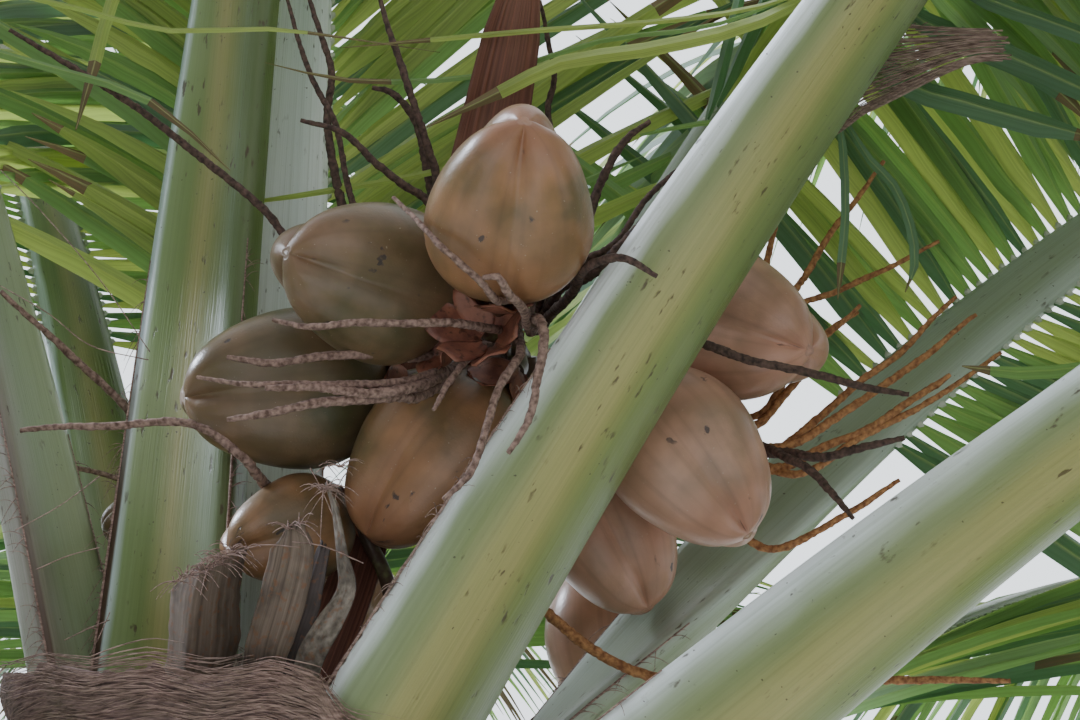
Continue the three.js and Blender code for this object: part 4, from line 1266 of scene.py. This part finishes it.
# %% Bunches
# Main stalk, twigs and dark twigs as places, the finish of the twigs, and the way of a nut's own short
# stalk where it does not leave from the main stalk's end
BUNCHES = {
    "front": {
        "stalk": [(60, -10, 190), (110, -18, 220), (180, -10, 330), (245, 0, 440), (305, 40, 560),
                  (300, 0, 655)],
        "twigs": [
            [(310, -40, 667), (300, -180, 642), (279, -290, 607), (263, -330, 615), (233, -345, 639),
             (179, -300, 709)],
            [(312, -40, 670), (310, -220, 610), (289, -315, 605), (280, -335, 613), (266, -338, 611)],
            [(310, -100, 648), (318, -230, 612), (327, -285, 574), (317, -290, 529), (311, -292, 489),
             (290, -285, 455)],
            [(315, -60, 663), (298, -150, 637), (298, -215, 577), (282, -250, 523), (254, -275, 439),
             (229, -270, 414)],
            [(279, -60, 646), (257, -150, 605), (236, -215, 556), (218, -240, 514)],
            [(299, -40, 665), (280, -170, 622), (236, -235, 600), (147, -265, 593), (102, -262, 590),
             (62, -250, 602)],
            [(248, -60, 641), (159, -165, 595), (111, -190, 586), (56, -200, 577), (14, -200, 582)],
            [(248, -60, 630), (183, -190, 559), (133, -215, 550), (95, -225, 546), (50, -230, 543),
             (-13, -215, 556)],
            [(248, -60, 628), (185, -195, 551), (136, -222, 539), (94, -235, 537), (56, -240, 536)],
            [(254, -60, 619), (177, -190, 541), (108, -222, 527), (63, -230, 514), (19, -225, 509)],
            [(131, 29, 498), (46, 10, 513), (37, -60, 501), (20, -95, 514), (-34, -105, 548),
             (-132, -95, 548), (-203, -90, 544)],
        ],
        "dark": [
            [(215, 20, 693), (94, 60, 765), (59, -40, 763), (31, -60, 793), (-77, -80, 882),
             (-163, -90, 943), (-238, -95, 987)],
            [(204, 30, 697), (139, 60, 800), (124, 20, 838), (102, 0, 915), (80, -10, 957),
             (59, -20, 1012), (45, -30, 1062)],
            [(198, 30, 697), (109, 70, 827), (92, 50, 917), (87, 40, 956), (92, 30, 1000), (66, 15, 1084)],
            [(224, 40, 700), (209, 40, 873), (194, 20, 912), (177, 0, 958), (162, -10, 1010),
             (145, -20, 1067)],
            [(226, 45, 702), (200, 60, 888), (186, 50, 941), (156, 40, 977), (137, 40, 983)],
            [(224, 40, 700), (199, 10, 837), (171, -10, 852), (143, -20, 871), (108, -30, 898),
             (66, -40, 908)],
            [(309, 60, 708), (333, 60, 882), (331, 40, 953), (339, 30, 988), (329, 20, 1031),
             (320, 10, 1074)],
            [(310, 0, 685), (356, -60, 738), (375, -60, 808), (390, -70, 837), (409, -80, 867),
             (435, -80, 888)],
            [(315, -20, 678), (333, -120, 698), (367, -150, 712), (400, -160, 730), (431, -160, 771),
             (473, -150, 814)],
            [(317, -20, 678), (340, -130, 683), (370, -170, 682), (400, -175, 708), (430, -175, 743),
             (465, -165, 794)],
            [(320, -20, 678), (350, -200, 653), (368, -290, 642), (400, -325, 636), (430, -330, 616)],
        ],
        "finish": "brown",
        "by": {"nut_front_5": [(180, -10, 330), (160, 36, 430)]},
    },
    "right": {
        "stalk": [(60, 5, -10), (115, 15, 60), (190, 45, 200), (290, 42, 420), (366, 36, 570),
                  (402, 52, 640)],
        "twigs": [
            [(402, 52, 640), (485, 85, 600), (588, 40, 540), (654, 40, 582), (728, 40, 620), (808, 40, 675)],
            [(485, 85, 600), (540, 110, 700), (565, 90, 798), (576, 80, 837), (593, 70, 886)],
            [(485, 85, 600), (550, 105, 690), (591, 90, 765), (643, 100, 840), (695, 60, 905)],
            [(485, 85, 600), (530, 90, 680), (573, 80, 738), (656, 90, 771), (751, 60, 810)],
            [(485, 85, 600), (553, 60, 606), (608, 60, 679), (663, 60, 736)],
            [(485, 85, 600), (562, 60, 573), (660, 60, 646), (765, 50, 742)],
            [(485, 85, 600), (572, 50, 570), (680, 50, 642), (784, 40, 718)],
            [(485, 85, 600), (553, 60, 617), (631, 70, 712), (662, 75, 734)],
            [(485, 85, 600), (560, 40, 544), (634, 40, 577), (737, 40, 638), (753, 40, 650)],
            [(402, 52, 640), (470, 78, 540), (560, 75, 470), (640, 60, 500), (696, 45, 535)],
            [(290, 42, 420), (420, 90, 340), (587, 60, 314), (638, 60, 324), (719, 50, 320), (800, 40, 318)],
        ],
        "dark": [
            [(402, 52, 640), (422, -60, 650), (477, -110, 632), (542, -118, 610), (632, -110, 587),
             (690, -110, 575)],
            [(485, 85, 600), (545, 20, 565), (600, -30, 535), (650, -50, 538), (690, -60, 546)],
            [(485, 85, 600), (545, 10, 560), (590, -60, 510), (611, -80, 485), (632, -90, 451)],
        ],
        "finish": "orange",
        "by": {},
    },
    "back": {
        "stalk": [(-10, 60, 90), (-10, 120, 130), (-12, 180, 190), (-5, 250, 340), (0, 305, 480),
                  (0, 320, 545)],
        "twigs": [
            [(-80, 300, 570), (-118, 180, 640), (-266, 100, 768)],
            [(0, 320, 545), (-120, 350, 620), (-260, 330, 650)],
            [(0, 320, 545), (60, 420, 620), (90, 560, 660)],
        ],
        "dark": [],
        "finish": "brown",
        "by": {"nut_back_1": [(0, 320, 545), (-76, 300, 570)]},
    },
}


BUNCH_STALK_RADII = [24, 24, 23, 22, 20, 17]  # millimetres, from the heart to the twigs
NUT_STALK_RADIUS = 0.011
TWIG_RADII = (0.0052, 0.0036, 0.0022)  # at the foot, at 0.8 of the length, at the tip
SEAT_DEPTH = 0.014  # metres that a nut's own stalk ends below its seat


def wavering(line, amount, pace):
    """A line with small unhurried kinks, its ends kept."""
    shares = np.linspace(0, 1, len(line))
    phases = chance.uniform(0, 6.28, (3, 3))
    waves = sum(np.sin(np.outer(shares, np.full(3, pace * (k + 1))) + phases[k]) / (k + 1) for k in range(3))
    return line + waves * amount * np.sin(np.pi * shares)[:, None]


def bunch_pieces(name, bunch):
    stalk, shares = path_through(place(bunch["stalk"]), 0.006)
    radius = read_off(shares, np.array(BUNCH_STALK_RADII) / 1000)
    lines, halves = [stalk], [radius]
    for node, seat, azimuth, rise, size, *_ in NUTS:
        if not node.startswith(f"nut_{name}_"):
            continue
        end = place(seat) - direction(azimuth, rise) * SEAT_DEPTH * size
        route = [place(p) for p in bunch["by"].get(node, [bunch["stalk"][-1]])] + [end]
        line, shares = path_through(route, 0.005)
        lines.append(wavering(line, 0.002, 5))
        halves.append(np.full(len(line), NUT_STALK_RADIUS * size))
    body = lines_mesh(f"bunch_stalk_{name}", lines, half=halves)
    knobs = {"Sides": 16, "KnobSize": 0.02, "KnobHeight": 0.12}
    grow(body, RODS, f"stalk_{name}", slot="flower_stalk", Material=PEDUNCLE, **knobs)
    scars = {"Sides": 9, "KnobSize": 0.0055, "KnobHeight": 1.0}
    for kind, finish in (("twigs", bunch["finish"]), ("dark", "dark")):
        lines, halves = [], []
        for points in bunch[kind]:
            line, shares = path_through(place(points), 0.003)
            lines.append(wavering(line, 0.003, 7))
            thick = chance.uniform(0.8, 1.15)
            halves.append(thick * np.interp(shares, (0, 0.8, 1), TWIG_RADII))
        if lines:
            body = lines_mesh(f"flower_{kind}_{name}", lines, half=halves)
            grow(body, RODS, f"stalk_{name}", slot="flower_stalk", Material=TWIGS[finish], **scars)


for name, bunch in BUNCHES.items():
    bunch_pieces(name, bunch)

# %% [markdown]
# ## Bract
#
# Before it flowers, a bunch is wrapped in a woody bract shaped like a canoe. Once it has split, the
# bract stands behind the nuts and dries red-brown, with fine grooves along it.

# %% Bract
def bract_finish():
    finish = Finish("woody_bract", roughness=0.6)
    groove = finish.grain(0.02, 0.5, 4.0)
    tone = finish.mix(finish.spread(groove, 0.35, 0.7), "#5a3328", "#8a5444")
    patch = finish.noise(0.12)
    tone = finish.over(tone, patch, 0.5, 0.75, "#a3765c", 0.5)
    return finish.finish(tone, groove, 0.0015)


BRACT_LINE = [
    (40, 30, 180), (95, 45, 330), (130, 55, 440), (156, 72, 560), (174, 100, 620), (205, 118, 690),
    (245, 80, 821), (290, -10, 1019), (316, -72, 1140),
]
BRACT_WIDTHS = [44, 50, 50, 48, 56, 88, 88, 62, 8]
BRACT_POINTS = 21  # across


def bract_mesh():
    line, shares = path_through(place(BRACT_LINE), 0.012)
    tangents = unit(np.gradient(line, axis=0))
    side = unit(np.cross([0, -1, 0], tangents))
    off = np.cross(tangents, side)
    half = read_off(shares, np.array(BRACT_WIDTHS) / 2000)[:, None, None]
    q = np.linspace(-1, 1, BRACT_POINTS)[None, :, None]
    ripple = 0.03 * np.sin(q * 26)
    faces = [
        line[:, None] + side[:, None] * q * half + off[:, None] * (low + 0.42 * q**2 + ripple) * half
        for low in (-0.22, 0.04)
    ]
    return skin("bract_shell", sheet_rings(*faces))


dress(bract_mesh(), bract_finish(), "bract", slot="leaf_fibre")

# %% [markdown]
# ## Spear
#
# The youngest leaf still stands folded like a closed fan, almost upright in the heart. Its pleats
# show as fine ridges along it.

# %% Spear
SPEAR = {"foot": (-38, 142, 255), "top": (-60, 640, 3400), "radius": 0.020, "least": 0.005,
         "pleats": 9, "rings": 90}


def spear_mesh():
    foot, top = place(SPEAR["foot"]), place(SPEAR["top"])
    t = np.linspace(0, 1, SPEAR["rings"])
    radius = np.maximum(SPEAR["least"], SPEAR["radius"] * (1 - t) ** 0.8)
    turn = np.linspace(0, 2 * np.pi, 6 * SPEAR["pleats"], endpoint=False)
    pleats = 1 + 0.07 * np.cos(SPEAR["pleats"] * turn)
    rings = foot + np.outer(t, top - foot)
    ring = np.stack([np.cos(turn) * pleats, np.sin(turn) * pleats, 0 * turn], -1)
    return skin("spear_folded_leaf", rings[:, None] + radius[:, None, None] * ring)


dress(spear_mesh(), leaflet_finish("spear_young_leaf", "#a7ab63", "#8d9a52", "#b9bd63"), "spear", slot="leaf")

# %% [markdown]
# ## Trunk
#
# A palm's trunk is a single column that never thickens with age. Each fallen leaf has left a shallow
# ring-shaped scar, close together where growth was slow, and the bark between them is cracked along
# the grain. At the foot it flares where the roots begin. The rings are real relief, and the cracks are
# bump.

# %% Trunk
TRUNK_HEIGHTS = [0, 60, 160, 320, 600, 1000, 1400, 1800, 2100, 2250, 2400, 2500, 2600, 2680]
TRUNK_RADII = [215, 185, 158, 140, 128, 120, 115, 113, 118, 128, 122, 104, 78, 40]
TRUNK_RINGS, TRUNK_SIDES = 330, 108
SCAR_SPACING = 0.052
BARK_INSET = 0.004  # metres that the bark's mean skin lies inside the solid's


def bark_finish():
    finish = Finish("ringed_palm_bark", roughness=0.9)
    crack = finish.noise(0.02, (0.35, 0.35, 2.2), detail=6.0)
    patch = finish.noise(0.16, detail=4.0, offset=(3, 3, 3))
    tone = finish.mix(finish.spread(crack, 0.38, 0.62), "#5c5248", "#948b7d")
    tone = finish.over(tone, patch, 0.5, 0.68, "#a8a698", 0.6)
    lichen = finish.noise(0.035, detail=5.0, offset=(7, 1, 2))
    tone = finish.over(tone, lichen, 0.62, 0.68, "#b9bfae", 0.7)
    return finish.finish(tone, crack, 0.004)


def trunk_mesh():
    height = np.linspace(0, TRUNK_TOP, TRUNK_RINGS)
    turn = np.linspace(0, 2 * np.pi, TRUNK_SIDES, endpoint=False)
    radius = np.interp(height, np.array(TRUNK_HEIGHTS) / 1000, np.array(TRUNK_RADII) / 1000)
    radius = np.convolve(np.pad(radius, 6, mode="edge"), np.ones(13) / 13, mode="valid")
    height, turn = np.meshgrid(height, turn, indexing="ij")
    tilt = 0.012 * np.sin(turn + 3 * height) + 0.004 * np.sin(3 * turn)
    phase = ((height + tilt) / SCAR_SPACING + 0.35 * np.sin(9 * height)) % 1
    lip = 0.0042 * np.exp(-((phase - 0.12) / 0.07) ** 2) - 0.0035 * np.exp(-((phase - 0.0) / 0.05) ** 2)
    lip = lip * smooth(height, 0.05, 0.4)
    buttress = 0.010 * np.sin(7 * turn + 2) * np.exp(-height / 0.12) * smooth(height, 0, 0.02)
    grain = 0.0012 * np.sin(23 * turn + 5 * np.sin(7 * height)) + 0.0008 * np.sin(41 * turn - 11 * height)
    r = radius[:, None] - BARK_INSET + lip + buttress + grain * smooth(height, 0, 0.05)
    axis = trunk_axis(height)
    return skin("trunk_bark", axis + np.stack([r * np.sin(turn), -r * np.cos(turn), 0 * r], -1))


dress(trunk_mesh(), bark_finish(), "trunk", slot="bark")

# %% [markdown]
# ## Leaf sheath
#
# The foot of every leaf is wrapped in a cloth of crossed fibres that tears as younger leaves push
# outwards. In front of the heart a whole lap of it is left, with a ragged edge. A wavy sheet gives it
# body, and 1,700 separate fibres lie on it, the coarsest running out past its right-hand end.

# %% Fibre finishes
def fibre_finish(name, light, dark):
    finish = Finish(name, roughness=0.92)
    strand = finish.noise(0.004, (4, 4, 0.6), detail=5.0)
    patch = finish.noise(0.05, detail=3.0)
    tone = finish.mix(finish.spread(strand, 0.35, 0.65), dark, light)
    tone = finish.over(tone, patch, 0.45, 0.7, "#8a7a6c", 0.4)
    return finish.finish(tone, strand, 0.002)


def board_finish(name, light, dark, grain=(0.05, 0.1)):
    """Weathered woody skin, its grain along the piece, with a rusty bloom of spots."""
    finish = Finish(name, roughness=0.85)
    fine = finish.grain(*grain, 5.0)
    tone = finish.mix(finish.spread(fine, 0.3, 0.72), dark, light)
    patch = finish.noise(0.035, detail=3.0, offset=(2, 6, 4))
    tone = finish.over(tone, patch, 0.48, 0.66, "#3d342f", 0.55)
    rust = finish.noise(0.007, detail=4.0, offset=(5, 5, 1))
    tone = finish.over(tone, rust, 0.56, 0.66, "#84583c", 0.6)
    return finish.finish(tone, fine, 0.0009)


FIBRES = {
    "sheath": fibre_finish("sheath_cloth", "#9c7f7a", "#564341"),
    "strand": fibre_finish("sheath_strands", "#b89a90", "#715850"),
    "board": board_finish("dead_bract", "#8d7b6e", "#5b4c42", (0.03, 0.16)),
    "dark": board_finish("dark_bract", "#675b58", "#3d3535", (0.08, 0.2)),
    "grey": board_finish("weathered_bract", "#9d9186", "#544940", (0.12, 0.010)),
}

# %% Sheath
SHEATH = {
    "across": [-76, -60, -44, -28, -12, 4, 18, 30, 38],
    "rows": [(-40, 112), (60, 158), (150, 190), (247, 216)],
    "ragged": [56, 44, 40, 22, 26, 8, 22, 6, -30],
    "thickness": 0.009,
    "fineness": (50, 90),
    "strands": 1700,
}


def sheath_at(across, up):
    """A place on the sheath, across from 0 to 1 and up from 0 to 1, and the way out of its face."""
    azimuth = read_off(across, SHEATH["across"])
    height = read_off(up, [h for h, _ in SHEATH["rows"]])
    height = height + smooth(up, 0.6, 1) * read_off(across, SHEATH["ragged"])
    radius = read_off(up, [r for _, r in SHEATH["rows"]])
    radius = radius + 2.2 * np.sin(across * 31 + 4 * up) * np.sin(up * 9 + across * 3)
    radius = radius + 9 * np.exp(-(((up - 0.93) / 0.06) ** 2)) - 7 * np.exp(-(((up - 0.78) / 0.07) ** 2))
    outward = direction(azimuth, 0)
    return CROWN + (outward * radius[..., None] + height[..., None] * UP) / 1000, outward


def sheath_mesh():
    up, across = np.meshgrid(*(np.linspace(0, 1, n) for n in SHEATH["fineness"]), indexing="ij")
    torn = 0.035 * np.sin(across * 47) * np.sin(across * 19 + 1) + 0.02 * np.sin(across * 113)
    middle, outward = sheath_at(across, np.clip(up + torn * up**6 - 0.03 * up**6, 0, 1))
    half = SHEATH["thickness"] / 2 * (1 - 0.7 * up[..., None] ** 4)
    return skin("sheath_cloth", sheet_rings(middle + outward * half, middle - outward * half))


def sheath_strands(count):
    """Fibres nearly level on the cloth. The last tenth are coarse and run on past its right-hand end."""
    lines, halves = [], []
    for number in range(count):
        start, level, length, lean = chance.uniform((-0.05, 0.02, 0.12, -0.16), (0.95, 1.03, 0.5, 0.16))
        coarse = number >= 0.9 * count
        if coarse:
            start, length, level = 0.62 + 0.3 * start, 0.3 + 0.5 * length, 0.6 + 0.4 * level
        t = np.linspace(0, 1, 11)
        across = start + length * t
        up = level + lean * length * t + 0.005 * np.sin(5 * t + level * 40)
        middle, outward = sheath_at(np.clip(across, 0, 1), np.clip(up, 0, 1))
        past = np.clip(across - 1, 0, 1)[:, None]
        over = np.clip(up - 1, 0, 1)[:, None] * 0.35 * UP + past * direction(98, -22) * 0.3
        lines.append(middle + outward * (0.0048 + chance.uniform(0, 0.0025)) + over)
        thick = chance.uniform(0.0003, 0.0008) * (2.4 if coarse else 1)
        halves.append(read_off(t, (0.4, 1, 0.25)) * thick)
    return lines_mesh("sheath_strands", lines, half=halves)


dress(sheath_mesh(), FIBRES["sheath"], "sheath", slot="leaf_fibre")
THREAD = {"slot": "leaf_fibre", "Material": FIBRES["strand"]}
grow(sheath_strands(SHEATH["strands"]), RODS, Sides=4, KnobSize=0.01, KnobHeight=0.5, **THREAD)

# %% [markdown]
# ## Old flower-stalk ends
#
# Low in front stand the dry ends of older bunches: a papery bract folded down its middle, a flat
# board with a rounded top, a dark strip behind it and a pale fibrous strip that twists and frays. All
# four are thin sheets along a line, with a width at each point, a fold and a twist.

# %% Stubs
# name, node, places along it, half widths in millimetres, fold, twist in degrees from foot to top,
# how far the torn top slants in millimetres, finish
STUBS = [
    (
        "stub_3_folded_bract", "stub_3",
        [(-22, -60, 170), (-18, -110, 262), (-10, -140, 308), (-4, -158, 350), (4, -165, 384)],
        (24, 30, 34, 34, 29), 1.7, -10, 24, "board",
    ),
    (
        "stub_1_board", "stub_1",
        [(40, -60, 190), (50, -110, 271), (55, -140, 301), (69, -155, 349), (80, -165, 396), (80, -165, 421)],
        (17, 18, 20, 22, 23, 21, 9), 0.35, 0, 4, "board",
    ),
    (
        "stub_1_dark_strip", "stub_1",
        [(69, -55, 235), (72, -97, 274), (78, -120, 305), (94, -132, 353), (108, -142, 406)],
        (10, 11, 11, 11, 6), 0.5, 10, -4, "dark",
    ),
    (
        "stub_2_frayed_strip", "stub_2",
        [(85, -60, 233), (90, -120, 269), (98, -150, 296), (115, -165, 326), (130, -170, 357),
         (126, -170, 390), (119, -170, 435), (112, -170, 458)],
        (12, 13, 14, 14, 11, 7, 4, 1), 0.3, 70, 0, "grey",
    ),
]
STUB_THICKNESS = 0.003
STUB_POINTS = 31  # across


def stub_mesh(name, points, widths, fold, twist, slant):
    line, shares = path_through(place(points), 0.004)
    tangents = unit(np.gradient(line, axis=0))
    side = unit(np.cross(tangents, [0, -1.0, 0.0]))
    front = np.cross(side, tangents)
    turn = (math.radians(twist) * shares)[:, None]
    side, front = side * np.cos(turn) + front * np.sin(turn), front * np.cos(turn) - side * np.sin(turn)
    half = read_off(shares, np.array(widths) / 1000)[:, None, None]
    q = np.linspace(-1, 1, STUB_POINTS)[None, :, None]
    along = shares[:, None, None]
    edge = 1 + 0.04 * np.sin(11 * along + 2 * np.sign(q)) + 0.012 * np.sin(47 * along + 5 * q)
    crease = -fold * np.sqrt((q + 0.25) ** 2 + 0.01)
    crease = crease + 0.03 * np.sin(q * 7 + 9 * along) + 0.006 * np.sin(q * 37)
    torn = along**6 * (slant * q + 5 * np.sin(q * 9) + 3 * np.sin(q * 27)) / 1000
    sheet = line[:, None] + side[:, None] * q * half * edge + front[:, None] * crease * half
    sheet = sheet + tangents[:, None] * torn
    return skin(name, sheet_rings(sheet, sheet - front[:, None] * STUB_THICKNESS))


for name, node, points, widths, fold, twist, slant, finish in STUBS:
    dress(stub_mesh(name, points, widths, fold, twist, slant), FIBRES[finish], node, slot="leaf_fibre")

# %% [markdown]
# ## Dead margins and loose fibres
#
# Near its foot a stalk's two margins are dead and brown, and they fray into short hairs. Single long
# fibres stray from there as well.

# %% Dead margins and loose fibres
MARGIN_SHARE = 0.16
MARGIN_POINTS = 48
NEAR_FRONDS = 8
NEAR_HAIRS, FAR_HAIRS = 70, 20  # on each margin
LOOSE = [
    [(-207, -60, 448), (-160, -80, 468), (-125, -60, 505)],
    [(-184, -60, 407), (-148, -80, 416), (-120, -70, 427)],
    [(-152, -60, 334), (-130, -70, 342), (-108, -60, 355)],
    [(-126, -60, 319), (-116, -80, 329), (-108, -60, 363)],
    [(-245, -60, 842), (-196, -90, 784), (-130, -90, 706), (-80, -60, 639)],
    [(-236, -70, 708), (-179, -90, 668), (-139, -80, 639), (-81, -60, 630)],
    [(119, -168, 430), (108, -172, 455), (96, -170, 478)],
    [(119, -168, 430), (124, -172, 460), (132, -165, 476)],
    [(80, -166, 404), (110, -180, 396), (150, -175, 380)],
    [(20, -168, 390), (50, -176, 398), (88, -174, 396)],
]

# place, reach of the tuft along the edge that it stands on, in millimetres, number of hairs
TUFTS = [
    ((-12, -166, 372), 26, 46),
    ((22, -168, 392), 16, 40),
    ((80, -168, 420), 9, 16),
    ((112, -172, 455), 5, 26),
    ((125, -168, 480), 3, 8),
]

# least and most of a hair's shift along the edge, its way right, back and up, and its length
TUFT_HAIR = ((-1, -1, -1, -0.3, 0.012), (1, 1, 0.4, 1.1, 0.04))
# least and most of a hair's way out, along and up, and its length
MARGIN_HAIR = ((0.2, -0.9, -0.5, 0.010), (1.0, 1.4, 0.3, 0.034))


def margin_lines():
    lines, halves = [], []
    for middle, reach, hairs in TUFTS:
        for _ in range(hairs):
            shift, out, toward, rise, length = chance.uniform(*TUFT_HAIR)
            foot = place(middle) + np.array([shift * reach, 0, 0.4 * shift * reach]) / 1000
            t = np.linspace(0, length, 6)[:, None]
            lines.append(foot + t * unit(np.array([out, toward, rise])) - t**2 / length * UP * 0.6)
            halves.append(np.linspace(0.0007, 0.0003, 6))
    for number, frond in enumerate(fronds, 1):
        hairs = NEAR_HAIRS if number <= NEAR_FRONDS else FAR_HAIRS
        for side in (-1, 1):
            shares = np.linspace(0.004, MARGIN_SHARE, MARGIN_POINTS)
            centre, along, left, up = frond.at(shares)
            half, depth = frond.half(shares)[:, None], frond.depth(shares)[:, None]
            edge = centre + left * side * half + up * depth * 0.1
            lines.append(edge)
            halves.append(np.linspace(0.0024, 0.0008, MARGIN_POINTS))
            for k in chance.integers(0, MARGIN_POINTS - 2, hairs):
                out, forth, rise, length = chance.uniform(*MARGIN_HAIR)
                way = unit(left[k] * side * out + along[k] * forth + up[k] * rise)
                t = np.linspace(0, length, 5)[:, None]
                lines.append(edge[k] + t * way - t**2 / length * UP * 0.5)
                halves.append(np.linspace(0.0006, 0.0002, 5))
    for points in LOOSE:
        line, _ = path_through(place(points), 0.01)
        lines.append(line)
        halves.append(np.full(len(line), 0.0006))
    return lines_mesh("margin_fibres", lines, half=halves)


grow(margin_lines(), RODS, Sides=4, KnobSize=0.006, KnobHeight=1.2, **THREAD)

# %% [markdown]
# ## Dry net
#
# A scrap of leaf sheath has been lifted by a growing leaf and now hangs from its stalk: long strands
# that draw together at one end, with short thin cross threads left between them.

# %% Net
NET_STRANDS, NET_EDGE_STRANDS, NET_TIES = 44, 14, 150
NET_ROWS = [
    [(520, -235, 760), (630, -215, 800), (740, -200, 800)],
    [(545, -240, 830), (650, -180, 880), (790, -170, 875)],
    [(570, -245, 890), (665, -190, 960), (800, -190, 965)],
]


def net_at(across, up):
    rows = np.array([place(row) for row in NET_ROWS])
    columns = [[read_off(across, row[:, k]) for k in range(3)] for row in rows]
    low, mid, high = (np.stack(c, -1) for c in columns)
    up = np.asarray(up)[..., None]
    return (1 - up) * (1 - 2 * up) * low + 4 * up * (1 - up) * mid + up * (2 * up - 1) * high


def net_lines():
    """Long strands that spread over the lap and draw together in its far upper corner, and short ties."""
    lines, halves = [], []
    for level in np.r_[np.linspace(0.02, 0.98, NET_STRANDS), np.linspace(0.0, 0.06, NET_EDGE_STRANDS)]:
        t = np.linspace(0, chance.uniform(0.88, 1), 44)
        gather = smooth(t, 0.15, 0.95)
        sway = 0.02 * np.sin(t * 7 + level * 30) * (1 - gather)
        drift = level + (0.74 + 0.16 * level - level) * gather + sway
        lines.append(net_at(t, np.clip(drift, 0.0, 1.0)) + chance.uniform(-1, 1, 3) * 0.0022)
        halves.append(read_off(t, (0.5, 1.5)) * chance.uniform(0.0005, 0.0010))
    for _ in range(NET_TIES):
        start, level = chance.uniform((0.1, 0.0), (0.95, 1.0))
        s = np.linspace(0, 1, 6)
        gather = smooth(start + 0.02 * s, 0.15, 0.95)
        drift = level + 0.07 * s
        drift = drift + (0.74 + 0.16 * level - drift) * gather
        lines.append(net_at(start + 0.02 * s, np.clip(drift, 0.0, 1.0)))
        halves.append(np.full(6, chance.uniform(0.0003, 0.0006)))
    return lines_mesh("dry_net", lines, half=halves)


grow(net_lines(), RODS, "net", Sides=5, KnobSize=0.008, KnobHeight=0.5, **THREAD)
